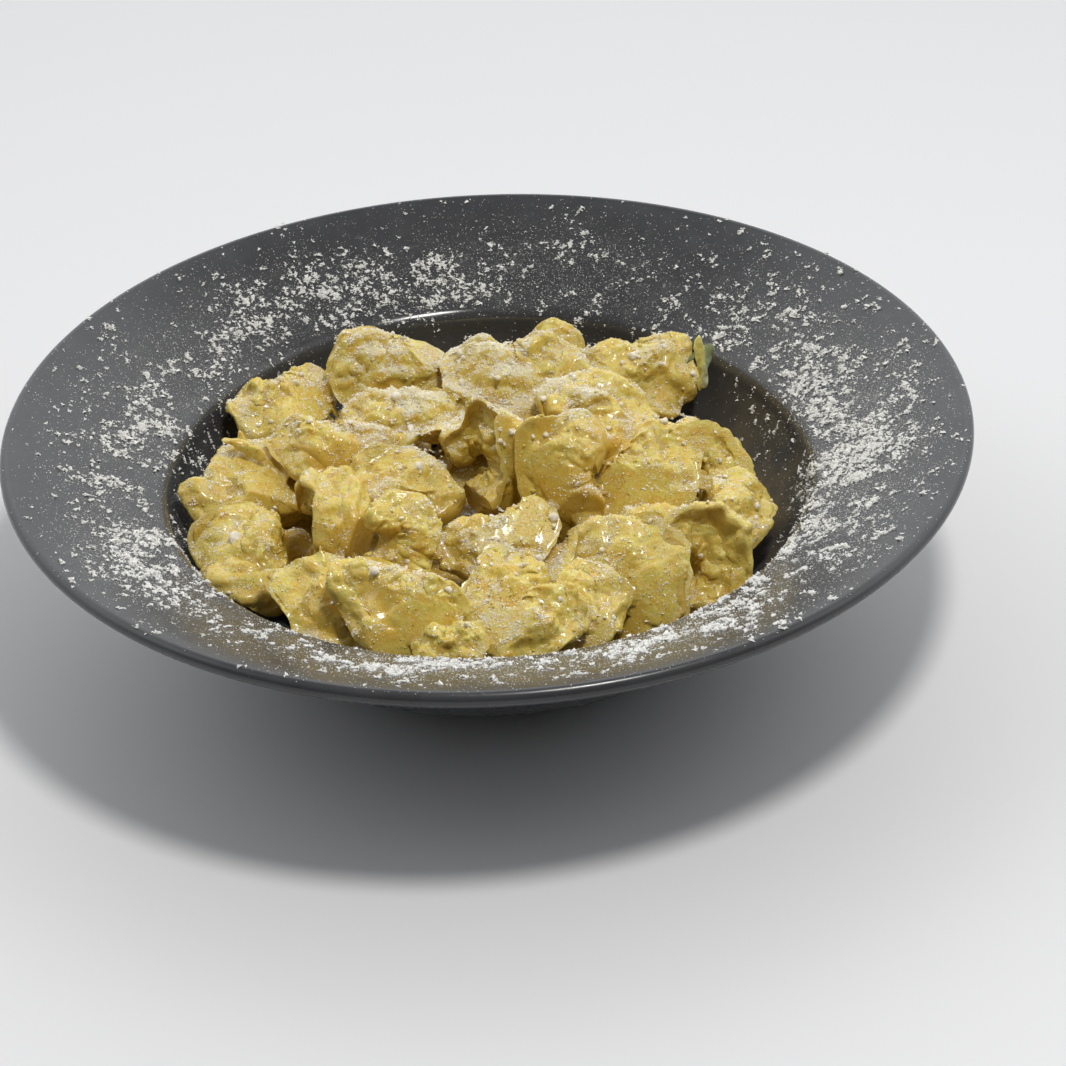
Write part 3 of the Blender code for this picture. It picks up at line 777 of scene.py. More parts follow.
def pastaFinish(name, sauce):
    # Golden dough under a grainy cream. Bare dough is smooth, glossy and deeper in colour;
    # the cream is paler, curdled and specked with pepper; powdery cheese lies on top; painted
    # shade darkens it to a dark golden brown where its mark says.
    finish = Finish(name, Subsurface_Weight=0.22, Subsurface_Scale=0.003, IOR=1.42,
                    Subsurface_Radius=(1.0, 0.6, 0.2), Coat_Roughness=0.14)
    bare = finish.noise(8.0).ramp(0.9, 1.0) if sauce else finish.mark("bare")
    powder, flap, paintedShade = finish.mark("powder"), finish.mark("flap"), finish.mark("paintedShade")
    patch, grains = finish.noise(5.5, 4.0, 0.6), finish.noise(0.8, 3.0, 0.7)
    cream = patch.ramp(0.3, 0.7).mix(dough["cream"], dough["deep"])
    hue = finish.noise(3.4, 4.0, 0.65)
    cream = (hue.ramp(0.5, 0.38) * 0.6).mix(cream, dough["lemon"])
    cream = (hue.ramp(0.5, 0.64) * 0.8).mix(cream, dough["orange"])
    cream = grains.ramp(0.5, 0.72).mix(cream, dough["pale"])
    cream = (grains.ramp(0.46, 0.3) * 0.4).mix(cream, dough["brown"])
    curds = finish.specks(1.7, 0.42, 0.22)
    cream = (curds * 0.5).mix(cream, dough["curd"])
    golden = finish.noise(3.2, 4.0, 0.6).ramp(0.3, 0.75).mix(dough["golden"], dough["amber"])
    colour = (bare * 0.9).mix(cream, golden)
    colour = (flap.ramp(0.55, 1.0) * 0.3).mix(colour, dough["edge"])
    # Painted shade: the colour runs to a dark golden brown where the mark says.
    colour = (paintedShade * 0.75).mix(colour, dough["shadeColour"])
    specks = finish.specks(1.1, 0.14, 0.5) + finish.specks(2.6, 0.19, 0.5)
    colour = (specks * 0.9).mix(colour, dough["pepper"])
    flecks = finish.noise(0.42, 2.0, 0.8)
    dusted = (flecks + powder * 0.35).ramp(0.60, 0.95) * powder.ramp(0.05, 0.9)
    colour = (dusted * 0.62).mix(colour, dough["powder"])
    finish.feed(Base_Color=colour)
    matt = finish.noise(2.2).ramp(0.35, 0.7, 0.20, 0.32)
    finish.feed(Roughness=matt + dusted * 0.4 - bare * 0.04)
    finish.feed(Coat_Weight=(1.0 - dusted) * finish.noise(2.4).ramp(0.4, 0.6, 0.15, 0.85))
    soft = finish.bump(finish.noise(1.9, 3.0, 0.6), 0.5, 0.6)
    height = grains * (1.2 - bare) + curds * (1.0 - bare) * 0.5 + flecks * dusted
    finish.feed(Normal=finish.bump(height, 0.22, 0.7, soft))
    return finish.material


def powderDrift(places):
    # Where powdery cheese has gathered: two soft random fields plus a bell for each drift.
    thick = sum(extra * np.exp(-((places[:, 0] - x) / wide) ** 2 - ((places[:, 1] - y) / deep) ** 2)
                for x, y, wide, deep, extra in dough["drifts"])
    return fields(places, 21, (0.5, 10.0), (0.45, 4.0)) + thick - 0.19


def paintedShadeShare(number, skin, normals):
    # How much painted shade: most low down on a dumpling and on what faces down or aside,
    # plus each dumpling's own extra shade.
    low = 1.0 - (skin[:, 2] - skin[:, 2].min()) / np.ptp(skin[:, 2])
    aside = 1.0 - smoothStep(normals[:, 2] + 0.25 * lattice(skin, 4.0, 23), -0.3, 0.75)
    more = dough["extraShade"].get(number, 0.0)
    return np.clip(0.75 * low**1.6 + 0.5 * aside - 0.08 + more, 0.0, 1.0)


def makeDumplings():
    # Powdered cheese lies on what faces up, in patches and drifts.
    pasta = pastaFinish("tortelliniPasta", False)
    for number, piece in enumerate(pieces, 1):
        skin, normals = piece["skin"], piece["normals"]
        powder = smoothStep(normals[:, 2], 0.15, 0.85) * smoothStep(powderDrift(skin), -0.35, 0.65)
        marks = {"bare": piece["bare"], "flap": piece["flap"], "powder": powder,
                 "paintedShade": paintedShadeShare(number, skin, normals)}
        putMesh(f"tortellino{number:02d}", skin, gridFaces(*piece["grid"]), pasta, "pasta", marks,
                [f"tortellino_{number:02d}"])


makeDumplings()
report("dumplings")


# The cream between and under the dumplings: it fills every narrow crease. Rings filled
# up: dumpling's number and radius. Plugs of cream: place and radius.
creamFill = {
    # The cream lies in the creases between dumplings and gets nearly full painted shade.
    "swell": 0.7, "voxel": 1.22, "shrink": 1.2, "smoothing": 2, "bedSteps": 72, "paintedShade": 0.95,
    "filled": {15: 6.6, 6: 6.0}, "plugs": ((-55.5, -14.0, 27.0, 6.5), (32.0, -1.0, 32.0, 5.5)),
}


def joined(blocks):
    # Several bodies of points and (quads, triangles) as one, with running point numbers.
    starts = np.cumsum([0] + [len(points) for points, _ in blocks])
    faces = [np.concatenate([block[1][kind] + start for block, start in zip(blocks, starts)])
             for kind in (0, 1)]
    return np.concatenate([points for points, _ in blocks]), faces


def bedBody():
    # A closed body under the heap: an uneven top and an underside that follows the well.
    turns, rings = evenTurns(creamFill["bedSteps"]), []
    for radius in np.linspace(4.0, settling["bedRadius"] - 1.0, 12):
        x, y = radius * np.cos(turns), radius * np.sin(turns)
        top = bedHeight(x, y) + 1.2 * lattice(np.stack([x, y, 0 * x], 1), 5.0, 31)
        rings.append(np.stack([x, y, top], 1))
    for angle in (20.0, 8.0):
        radius, height = wallPoint(angle, -1.0)
        rings.append(polar(radius, turns, height))
    top, bottom = [[0.0, 0.0, bedHeight(0.0, 0.0)]], [[0.0, 0.0, bowl["floorHeight"] + 1.2]]
    return np.concatenate([top] + rings + [bottom]), gridFaces(len(rings), creamFill["bedSteps"])


def makeCream():
    # Swollen copies of the dumplings and the bed are joined into one skin on a fine
    # lattice, smoothed, and drawn in a little further than they were swollen, so that
    # the cream stays only where two dumplings meet or nearly meet.
    blocks = [bedBody()]
    plugs = [(*pieces[number - 1]["skin"].mean(0), radius)
             for number, radius in creamFill["filled"].items()]
    height = np.linspace(-0.98, 0.98, 12)[:, None]
    ball = polar(np.sqrt(1.0 - height**2), evenTurns(16), height).reshape(-1, 3)
    ball = np.concatenate([[[0.0, 0.0, -1.0]], ball, [[0.0, 0.0, 1.0]]])
    for *centre, radius in plugs + list(creamFill["plugs"]):
        outwards = [group[:, ::-1] for group in gridFaces(12, 16)]
        blocks.append((np.array(centre) + radius * ball, outwards))
    for piece in pieces:
        swollen = piece["skin"] + creamFill["swell"] * piece["normals"]
        blocks.append((swollen, gridFaces(*piece["grid"])))
    points, (quads, triangles) = joined(blocks)
    raw = bpy.data.meshes.new("creamRaw")
    raw.from_pydata((points * mm).tolist(), [], quads.tolist() + triangles.tolist())
    thing = bpy.data.objects.new("creamRaw", raw)
    bpy.context.scene.collection.objects.link(thing)
    remesh = thing.modifiers.new("Join", "REMESH")
    remesh.mode = "VOXEL"
    remesh.voxel_size = creamFill["voxel"] * mm
    shown = thing.evaluated_get(bpy.context.evaluated_depsgraph_get()).to_mesh()
    skin = np.empty(len(shown.vertices) * 3, dtype=np.float32)
    shown.vertices.foreach_get("co", skin)
    skin = skin.reshape(-1, 3).astype(float) / mm
    corners = np.empty(len(shown.loops), dtype=np.int32)
    shown.loops.foreach_get("vertex_index", corners)
    bpy.data.objects.remove(thing, do_unlink=True)
    quads, skin = outerShell(corners.reshape(-1, 4), skin)
    for _ in range(creamFill["smoothing"]):
        skin = averaged(skin, quads)
    normals = quadNormals(skin, quads)
    skin = skin - creamFill["shrink"] * normals
    skin += fields(skin, 33, (0.16, 2.2), (0.08, 1.1))[:, None] * normals
    limit = insideRadius(skin[:, 2]) - 0.3
    skin[:, :2] *= np.minimum(1.0, limit / np.maximum(radiusOf(skin), 1.0))[:, None]
    skin[:, 2] = np.maximum(skin[:, 2], bowl["floorHeight"] + 0.3)
    # Painted shade of the creases, almost full, all over the cream.
    marks = {"paintedShade": np.full(len(skin), creamFill["paintedShade"])}
    putMesh("creamSauce", skin, quads, pastaFinish("creamSauceFinish", True), "sauce", marks,
            ["sauce_bed"])
    return skin, quads


def outerShell(quads, skin):
    # Keeps the largest connected skin and drops the closed pockets inside it.
    label = np.arange(len(skin))
    while True:
        least = label[quads].min(1)
        before = label.copy()
        for side in range(4):
            np.minimum.at(label, quads[:, side], least)
        label = label[label]
        if (label == before).all():
            break
    names, sizes = np.unique(label, return_counts=True)
    keep = label == names[sizes.argmax()]
    number = np.cumsum(keep) - 1
    return number[quads[keep[quads[:, 0]]]], skin[keep]


def averaged(skin, quads):
    # Each point moves most of the way to the mean of its neighbours.
    ends = np.concatenate([quads[:, (k, (k + 1) % 4)] for k in range(4)])
    total, count = np.zeros_like(skin), np.zeros(len(skin))
    for near, far in (ends.T, ends.T[::-1]):
        count += np.bincount(near, minlength=len(skin))
        for axis in range(3):
            total[:, axis] += np.bincount(near, skin[far, axis], len(skin))
    return 0.35 * skin + 0.65 * total / count[:, None]


def quadNormals(skin, quads):
    # Mean of the normals of the faces round each point, from the quads' diagonals.
    flat = np.cross(skin[quads[:, 2]] - skin[quads[:, 0]], skin[quads[:, 3]] - skin[quads[:, 1]])
    total = np.zeros_like(skin)
    for axis in range(3):
        for side in range(4):
            total[:, axis] += np.bincount(quads[:, side], flat[:, axis], len(skin))
    return total / np.maximum(np.linalg.norm(total, axis=1, keepdims=True), 1e-12)


creamSkin, creamQuads = makeCream()
report("cream")


def landings():
    # One tree of all that cheese can fall on, thinned to half the points each way.
    points, faces, count = [creamSkin], [creamQuads], len(creamSkin)
    for piece in pieces[: settling["catchers"]]:
        grid = piece["skin"][1:-1].reshape(*piece["grid"], 3)[::2, ::2]
        rows, columns = grid.shape[:2]
        points.append(grid.reshape(-1, 3))
        faces.append(ringQuads(rows, columns, count))
        count += rows * columns
    return BVHTree.FromPolygons(np.concatenate(points).tolist(), np.concatenate(faces).tolist())


fallTree = landings()
report("landing tree")


def randomTurns(pick, count, tilt):
    # Rotation matrices: a random heading, and leaning over by tilt (about half radians).
    heading = pick.uniform(0.0, math.pi, count)
    lean = tilt * pick.normal(size=(2, count))
    spin = np.array([np.cos(heading), lean[0], lean[1], np.sin(heading)])
    w, x, y, z = spin / np.linalg.norm(spin, axis=0)
    rows = [[1 - 2 * (y * y + z * z), 2 * (x * y - z * w), 2 * (x * z + y * w)],
            [2 * (x * y + z * w), 1 - 2 * (x * x + z * z), 2 * (y * z - x * w)],
            [2 * (x * z - y * w), 2 * (y * z + x * w), 1 - 2 * (x * x + y * y)]]
    return np.moveaxis(np.array(rows), 2, 0)


def scattered(name, shape, faces, centres, material, slotName, **more):
    # One piece of many small solids: a shape of its own for each centre, and the same faces.
    count, corners = shape.shape[:2]
    points = (shape + centres[:, None, :]).reshape(-1, 3)
    faces = faces + corners * np.arange(count)[:, None, None]
    putMesh(name, points, faces.reshape(-1, 3), material, slotName, **more)


def putFlakes(name, pick, centres, material):
    # Three-cornered splinters: a flat base and a low peak, uneven, turned and tilted. Their
    # sizes follow a bell curve of logarithms round one size.
    corner = np.array([[1.0, 0.0, -0.4], [-0.6, 0.85, -0.4], [-0.6, -0.85, -0.4], [0.0, 0.0, 0.9]])
    faces = np.array([[0, 1, 3], [1, 2, 3], [2, 0, 3], [0, 2, 1]])
    count = len(centres)
    size, spread, tilt = cheese["flakes"][name]
    sizes = size * np.exp(spread * pick.normal(size=count))
    shape = corner * pick.uniform(0.6, 1.4, (count, 4, 1))
    shape = shape + pick.uniform(-0.25, 0.25, (count, 4, 3))
    shape *= np.stack([pick.uniform(*span, count) for span in cheese["splinter"]], 1)[:, None, :]
    shape = np.einsum("nij,nkj->nki", randomTurns(pick, count, tilt), shape) * sizes[:, None, None]
    scattered(name, shape, faces, centres, material, "sauce", smooth=False)


def cheeseFinish(name, light, dark):
    # Dull grated cheese, with its tint and dullness a little uneven.
    finish = Finish(name)
    finish.feed(Base_Color=finish.noise(1.3, 2.0).ramp(0.3, 0.7).mix(light, dark))
    finish.feed(Roughness=finish.noise(0.4, 2.0).ramp(0.3, 0.7, 0.6, 0.8))
    return finish.material


# How many of each; lengths in millimetres.
cheese = {
    "rimFlakes": 46000, "rimDust": 46000, "pastaPowder": 46000, "pastaCrumbs": 16000,
    "pastaFlakes": 13000, "granules": 230, "curds": 1400,
    # Size, spread of sizes and tilt of each kind of flake; size and spread of the lumps.
    "flakes": {
        "cheeseOnRim": (0.355, 0.36, 0.14), "cheeseDustOnRim": (0.15, 0.42, 0.2),
        "cheesePowderOnPasta": (0.21, 0.4, 0.15), "cheeseCrumbsOnPasta": (0.30, 0.4, 0.15),
        "cheeseFlakesOnPasta": (0.26, 0.35, 0.2),
    },
    "granuleSize": (0.62, 0.34), "curdSize": (0.27, 0.4),
    # One fluffy pile: direction (degrees), distance, grains and height. The rim's radii.
    # The circle that falling grains aim at: radius, height, and how far back they start.
    "pile": (-14.0, 104.0, 500, 0.9), "rimSpan": (80.0, 134.2), "aim": (90.0, 38.0, 60.0),
    # Colours, light and dark. Ranges of a splinter's length, width and height.
    "dry": ((0.93, 0.93, 0.90), (0.88, 0.87, 0.83)),
    "moist": ((0.98, 0.95, 0.86), (0.94, 0.88, 0.70)),
    "grain": ((0.94, 0.89, 0.77), (0.90, 0.80, 0.56)),
    "splinter": ((0.75, 1.5), (0.5, 1.0), (0.22, 0.42)),
}


def onRim(pick, count, patchy, band):
    # Places on the rim in proportion to the dusting, gathered in small patches.
    kept, (least, most) = np.zeros((0, 2)), cheese["rimSpan"]
    while len(kept) < count:
        radius = np.sqrt(pick.uniform(least**2, most**2, 4 * count))
        flat = polar(radius, pick.uniform(0.0, 2.0 * math.pi, 4 * count), 0.0)
        patch = smoothStep(fields(flat, 41, (0.45, 11.0), (0.5, 3.6)), -0.35, 0.65)
        share = cheeseShare(flat[:, 0], flat[:, 1], band) * (1.0 - patchy + patchy * 1.5 * patch)
        kept = np.concatenate([kept, flat[pick.uniform(0.0, 1.0, len(flat)) < share, :2]])
    return kept[:count]


def clumps(pick, total, stride, heaped):
    # Flakes gathered in clumps of one to forty: each clump is a short random walk from
    # its base, and its flakes pile up on each other. Gives clump number and offset.
    counts = 1 + np.floor(np.exp(pick.normal(1.7, 1.0, total // 3))).astype(int)
    counts = counts[: int((np.cumsum(counts) < total).sum())]
    owner = np.repeat(np.arange(len(counts)), counts)
    walk = np.cumsum(pick.normal(size=(len(owner), 2)) * stride, axis=0)
    walk -= walk[(np.cumsum(counts) - counts)[owner]]
    rise = heaped * np.abs(pick.normal(size=len(owner))) * np.minimum(1.0, counts[owner] / 9.0)
    return len(counts), owner, np.concatenate([walk, rise[:, None]], 1)


def rested(flat, rise):
    # Places on the bowl's upper surface, that much above it.
    return np.concatenate([flat, (insideHeight(radiusOf(flat)) + rise)[:, None]], 1)


def makeRimCheese(material):
    # Clumps of flakes on the rim, one fluffy pile at the right, and fine dust all round.
    pick = np.random.RandomState(5)
    way, distance, grains, tall = cheese["pile"]
    count, owner, offset = clumps(pick, cheese["rimFlakes"] - grains, 0.21, 0.24)
    flat = onRim(pick, count, 1.0, bowl["clumpBand"])[owner] + offset[:, :2]
    centres = rested(flat, 0.07 + offset[:, 2])
    pile = pick.normal(size=(grains, 3)) * (1.0, 0.9, 0.5)
    flat = pile[:, :2] + polar(distance, math.radians(way), 0.0)[:2]
    high = tall * np.exp(-(pile[:, :2] ** 2).sum(1) / 2.0) * np.abs(pile[:, 2])
    centres = np.concatenate([centres, rested(flat, 0.1 + high)])
    putFlakes("cheeseOnRim", pick, centres, material)
    centres = rested(onRim(pick, cheese["rimDust"], 0.55, bowl["dustBand"]), 0.04)
    putFlakes("cheeseDustOnRim", pick, centres, material)


def dropped(pick, count, keepShare, slant=0.35):
    # Places where grains that fall down, each a little aslant, land on the heap; kept by
    # a share that depends on place and slope. Gives places and slopes.
    kept, slopes = np.zeros((0, 3)), np.zeros((0, 3))
    wide, height, back = cheese["aim"]
    while len(kept) < count:
        radius = wide * np.sqrt(pick.uniform(0.0, 1.0, count))
        aim = polar(radius, pick.uniform(0.0, 2.0 * math.pi, count), height)
        fall = np.concatenate([slant * pick.normal(size=(count, 2)), np.full((count, 1), -1.0)], 1)
        hits = [fallTree.ray_cast(Vector(end - back * line), Vector(line))
                for end, line in zip(aim, fall)]
        found = np.array([(*hit[0], *hit[1]) for hit in hits if hit[0] is not None])
        found = found[radiusOf(found) < insideRadius(found[:, 2]) - 1.0]
        share = keepShare(found[:, :3], found[:, 3:])
        found = found[pick.uniform(0.0, 1.0, len(found)) < share]
        kept = np.concatenate([kept, found[:, :3]])
        slopes = np.concatenate([slopes, found[:, 3:]])
    return kept[:count], slopes[:count]


def powderShare(places, slopes):
    # Flakes stay on what faces up, most in the powdery drifts.
    return smoothStep(slopes[:, 2], 0.0, 0.8) * (0.10 + smoothStep(powderDrift(places), -0.3, 0.6))


def grainShare(places, slopes):
    # Grains lie in a few loose groups.
    return 0.04 + 0.9 * smoothStep(fields(places, 51, (1.0, 6.0), (0.6, 2.5)), 0.35, 0.8)


def curdShare(places, slopes):
    # Curds stick anywhere, more in patches.
    return 0.15 + 0.85 * smoothStep(fields(places, 61, (1.0, 5.0), (0.5, 2.2)), -0.3, 0.7)


def makePastaCheese(material):
    # Powder and crumbs where they fall, then flakes in clumps that lie along the slope.
    pick = np.random.RandomState(9)
    for kind in ("Powder", "Crumbs"):
        places, slopes = dropped(pick, cheese[f"pasta{kind}"], powderShare)
        putFlakes(f"cheese{kind}OnPasta", pick, places + 0.05 * slopes, material)
    count, owner, offset = clumps(pick, cheese["pastaFlakes"], 0.30, 0.20)
    bases, tilts = dropped(pick, count, powderShare)
    slide = -(offset[:, :2] * tilts[owner, :2]).sum(1) / np.maximum(tilts[owner, 2], 0.4)
    flat = np.concatenate([offset[:, :2], slide[:, None]], 1)
    centres = bases[owner] + flat + (0.06 + offset[:, 2])[:, None] * tilts[owner]
    putFlakes("cheeseFlakesOnPasta", pick, centres, material)


def icosahedron():
    # The solid of 12 corners and 20 faces, on a unit ball.
    golden = (1.0 + math.sqrt(5.0)) / 2.0
    corner = [(-1, golden, 0), (1, golden, 0), (-1, -golden, 0), (1, -golden, 0),
              (0, -1, golden), (0, 1, golden), (0, -1, -golden), (0, 1, -golden),
              (golden, 0, -1), (golden, 0, 1), (-golden, 0, -1), (-golden, 0, 1)]
    faces = [(0, 11, 5), (0, 5, 1), (0, 1, 7), (0, 7, 10), (0, 10, 11), (1, 5, 9), (5, 11, 4),
             (11, 10, 2), (10, 7, 6), (7, 1, 8), (3, 9, 4), (3, 4, 2), (3, 2, 6), (3, 6, 8),
             (3, 8, 9), (4, 9, 5), (2, 4, 11), (6, 2, 10), (8, 6, 7), (9, 8, 1)]
    return np.array(corner) / math.hypot(1.0, golden), np.array(faces)


def ballTemplate():
    # A ball of 42 points and 80 faces: that solid with each face cut in four.
    corner, faces = icosahedron()
    points = list(corner)
    middles, cut = {}, []

    def middle(a, b):
        # Number of the point halfway between two corners, pushed out to the ball.
        key = (min(a, b), max(a, b))
        if key not in middles:
            half = points[a] + points[b]
            middles[key] = len(points)
            points.append(half / np.linalg.norm(half))
        return middles[key]

    for a, b, c in faces:
        ab, bc, ca = middle(a, b), middle(b, c), middle(c, a)
        cut += [(a, ab, ca), (b, bc, ab), (c, ca, bc), (ab, bc, ca)]
    return np.array(points), np.array(cut)


def makeGranules():
    # Lumpy grains of cheese half sunk in the sauce, in loose groups of one to four.
    finish = Finish("cheeseGrain", Roughness=0.55)
    finish.feed(Base_Color=finish.noise(2.5, 2.0).ramp(0.35, 0.65).mix(*cheese["grain"]))
    finish.feed(Normal=finish.bump(finish.noise(0.5, 2.0), 0.12, 0.6))
    pick = np.random.RandomState(17)
    places, slopes = dropped(pick, cheese["granules"], grainShare)
    ball, faces = ballTemplate()
    count, (size, uneven) = len(places), cheese["granuleSize"]
    spread = (ball * 1.5 + 9.0 * np.arange(count)[:, None, None]).reshape(-1, 3)
    shape = ball * (1.0 + 0.6 * lattice(spread, 1.0, 3)).reshape(count, -1, 1)
    shape = shape * pick.uniform(0.75, 1.25, (count, 1, 3))
    shape = shape * (size * np.exp(uneven * pick.normal(size=(count, 1, 1))))
    scattered("cheeseGranules", shape, faces, places + 0.25 * slopes, finish.material, "sauce")


def strip(path, widths, thick, steps=28, around=16):
    # A flat band along a smooth path: flattened ellipses square to it, closed at both ends.
    path, widths = np.array(path), np.array(widths)
    knots = np.linspace(0.0, 1.0, len(path))
    share = np.linspace(0.0, 1.0, steps)
    fit = np.polyfit(knots, path, min(3, len(path) - 1))
    middle = np.stack([np.polyval(fit[:, axis], share) for axis in range(3)], 1)
    way = np.gradient(middle, axis=0)
    way /= np.linalg.norm(way, axis=1, keepdims=True)
    side = np.cross(way, [0.0, 1.0, 0.0])
    side /= np.linalg.norm(side, axis=1, keepdims=True)
    front = np.cross(side, way)
    ends = np.sqrt(np.clip(1.0 - np.abs(2.0 * share - 1.0) ** 8, 0.03, 1.0))
    wide = np.interp(share, knots, widths) * 0.5 * ends
    turn = evenTurns(around)
    wave = 0.25 * np.sin(share * 9.0)[:, None] * np.cos(turn)[None]
    out = wide[:, None] * np.cos(turn)
    forward = 0.5 * thick * ends[:, None] * np.sin(turn) + wave * np.minimum(wide, 1.5)[:, None]
    skin = (middle[:, None] + out[:, :, None] * side[:, None]
            + forward[:, :, None] * front[:, None])
    return np.concatenate([middle[:1], skin.reshape(-1, 3), middle[-1:]]), gridFaces(steps, around)


def lumpy(points, depth, size, seed):
    # Each point moved by three soft random fields, one for each axis.
    return points + depth * np.stack([lattice(points, size, seed + k) for k in range(3)], 1)


def makeCurds():
    # Small lumps of cream stuck all over the dumplings, which roughen every outline.
    pick = np.random.RandomState(23)
    places, slopes = dropped(pick, cheese["curds"], curdShare, 0.9)
    count, (size, uneven) = len(places), cheese["curdSize"]
    ball, faces = icosahedron()
    shape = ball * pick.uniform(0.65, 1.35, (count, len(ball), 1))
    shape = shape * pick.uniform(0.7, 1.3, (count, 1, 3))
    shape = shape * (size * np.exp(uneven * pick.normal(size=(count, 1, 1))))
    # Curds get painted shade where they face aside, and powder where they face up.
    upright = np.repeat(slopes[:, 2], len(ball))
    scattered("creamCurds", shape, faces, places + 0.02 * slopes,
              pastaFinish("creamCurdFinish", False), "pasta",
              marks={"paintedShade": 0.3 - 0.3 * upright, "powder": 0.5 * upright})


def makeFingers():
    # Torn fingers of dough that stick out of the heap, and one round belly end.
    fingers = []
    for path, widths, thick in dough["fingers"]:
        points, faces = strip(path, widths, thick, 24, 20)
        fingers.append((lumpy(points, 0.35, 2.2, 72), faces))
    points, faces = joined(fingers)
    # Some of the dark painted-shade colour, a little everywhere and uneven at random.
    marks = {"paintedShade": 0.2 + 0.25 * lattice(points, 3.0, 75)}
    putMesh("doughFingers", points, faces, pastaFinish("doughFingerFinish", False), "pasta", marks)


makeRimCheese(cheeseFinish("gratedCheese", *cheese["dry"]))
makePastaCheese(cheeseFinish("moistCheese", *cheese["moist"]))
makeGranules()
makeCurds()
makeFingers()
report("cheese, curds and scraps")


# A torn herb leaf behind the heap on the right: a thick pale stalk and thin blades.
# Each strip: path through points (millimetres), width along it, thickness, colour.
leaf = {
    "stalk": (((63.8, 39.5, 40.0), (64.2, 39.0, 46.0), (64.1, 38.8, 50.5), (63.5, 39.0, 55.0),
               (63.4, 39.3, 58.8)), (1.6, 2.0, 2.9, 3.3, 1.4), 1.3, (0.78, 0.68, 0.20)),
    "blade": (((65.2, 39.8, 44.6), (65.7, 39.8, 48.6), (66.3, 39.8, 52.2), (66.9, 39.8, 55.8)),
              (0.7, 1.9, 2.6, 3.3), 0.35, (0.36, 0.42, 0.27)),
    "rib": (((64.9, 38.2, 41.5), (65.2, 38.2, 45.4), (65.2, 38.2, 50.0)),
            (1.9, 2.1, 0.9), 0.9, (0.56, 0.57, 0.34)),
    "curl": (((62.6, 39.2, 53.6), (61.4, 39.2, 51.6), (59.8, 39.2, 49.6)),
             (1.0, 1.5, 0.8), 0.4, (0.34, 0.40, 0.20)),
}


def leafFinish(name, colour):
    # Moist leaf: its colour runs to a lighter one in soft streaks.
    finish = Finish(name, IOR=1.4)
    lighter = tuple(min(1.0, 1.35 * part + 0.03) for part in colour)
    finish.feed(Base_Color=finish.noise(1.4, 4.0, 0.6).ramp(0.35, 0.65).mix(colour, lighter))
    finish.feed(Roughness=finish.noise(0.8, 2.0).ramp(0.3, 0.7, 0.3, 0.5))
    finish.feed(Normal=finish.bump(finish.noise(0.7, 3.0), 0.10, 0.6))
    return finish.material


for part, (path, widths, thick, colour) in leaf.items():
    points, faces = strip(path, widths, thick)
    name = f"herb{part.capitalize()}"
    putMesh(name, lumpy(points, 0.3, 1.7, 76), faces, leafFinish(f"{name}Finish", colour), "sauce")
report("herb")


# Studio: pale floor, white surroundings and one soft light almost overhead. Lengths in
# metres (lens and sensor in millimetres), turns in degrees, surroundings by height.
studio = {
    "floor": (0.80, 0.80, 0.81), "floorEdge": 7.0, "skyTint": (0.97, 0.985, 1.0, 1.0),
    "overhead": 0.20, "middle": 1.5, "low": 0.93, "front": 0.12,
    "keyPower": 4.9, "keyTint": (1.0, 0.985, 0.96), "keyWidth": 0.14,
    "keyAt": (0.161, -0.202, 0.825),
    "lens": 87.0535, "sensor": 36.0, "eyeAt": (0.0, -0.62163, 0.42958),
    "eyeTurn": (56.4979, 1.9305, -2.3577),
}


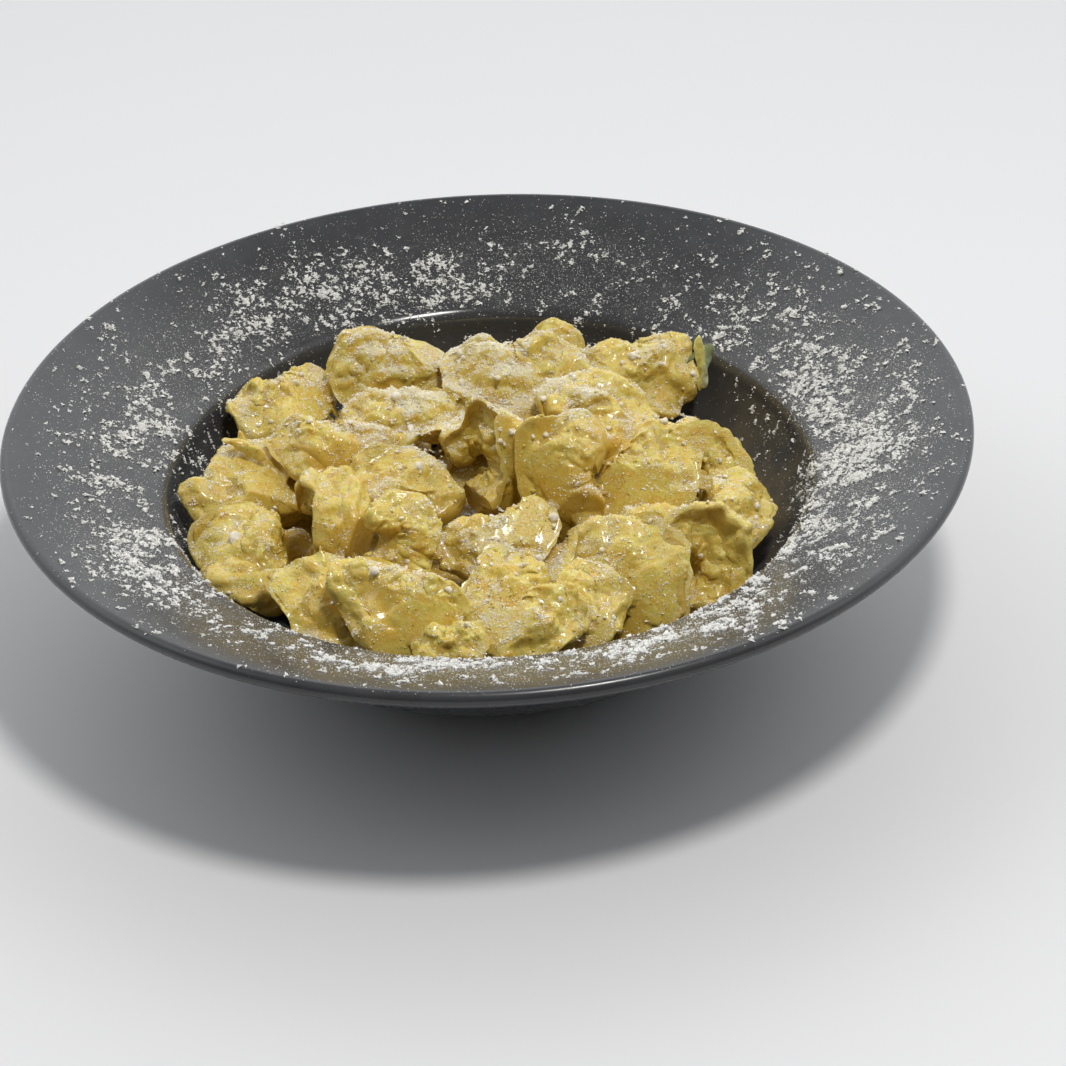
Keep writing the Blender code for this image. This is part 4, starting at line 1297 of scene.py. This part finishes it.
def makeStudio():
    # Floor, surroundings that are brightest halfway up behind, the lamp and the camera.
    scene = bpy.context.scene
    scene.view_settings.view_transform = "Standard"
    edge = studio["floorEdge"]
    corners = [(-edge, -edge, 0.0), (edge, -edge, 0.0), (edge, edge, 0.0), (-edge, edge, 0.0)]
    mesh = bpy.data.meshes.new("floor")
    mesh.from_pydata(corners, [], [(0, 1, 2, 3)])
    floor = bpy.data.objects.new("floor", mesh)
    scene.collection.objects.link(floor)
    finish = Finish("floorFinish", Roughness=0.55)
    darker = tuple(0.985 * part for part in studio["floor"])
    finish.feed(Base_Color=finish.noise(220.0, 2.0).mix(studio["floor"], darker))
    mesh.materials.append(finish.material)
    world = bpy.data.worlds.new("surroundings")
    world.use_nodes = True
    sky = Wire(world.node_tree, None)
    way = sky.node("ShaderNodeTexCoord")
    height = sky.node("ShaderNodeSeparateXYZ", None, {0: way}, 2)
    rear = sky.node("ShaderNodeSeparateXYZ", None, {0: way}, 1).ramp(-0.5, 0.1)
    back = world.node_tree.nodes["Background"]
    back.inputs[0].default_value = studio["skyTint"]
    middle = height.ramp(0.3, 0.5) * height.ramp(0.9, 0.72)
    middle = middle * rear.ramp(0.0, 1.0, studio["front"], studio["middle"])
    glow = height.ramp(0.72, 0.9) * studio["overhead"] + middle
    glow = glow + height.ramp(0.5, 0.3) * rear * studio["low"]
    world.node_tree.links.new(glow.socket, back.inputs[1])
    scene.world = world
    lamp = bpy.data.lights.new("key", "AREA")
    lamp.shape, lamp.size, lamp.energy = "DISK", studio["keyWidth"], studio["keyPower"]
    lamp.color = studio["keyTint"]
    lamp.use_nodes = True  # even light over the whole table, near and far
    beam = Wire(lamp.node_tree, None).node("ShaderNodeLightFalloff", None, {"Strength": 1.0}, 2)
    lamp.node_tree.links.new(beam.socket, lamp.node_tree.nodes["Emission"].inputs["Strength"])
    key = bpy.data.objects.new("key", lamp)
    key.location = studio["keyAt"]
    key.rotation_euler = Vector(studio["keyAt"]).to_track_quat("Z", "Y").to_euler()
    scene.collection.objects.link(key)
    eye = bpy.data.cameras.new("camera")
    eye.lens, eye.sensor_width, eye.clip_end = studio["lens"], studio["sensor"], 20.0
    camera = bpy.data.objects.new("camera", eye)
    camera.location = studio["eyeAt"]
    camera.rotation_euler = [math.radians(turn) for turn in studio["eyeTurn"]]
    scene.collection.objects.link(camera)
    scene.camera = camera


makeStudio()
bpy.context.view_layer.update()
report("done")
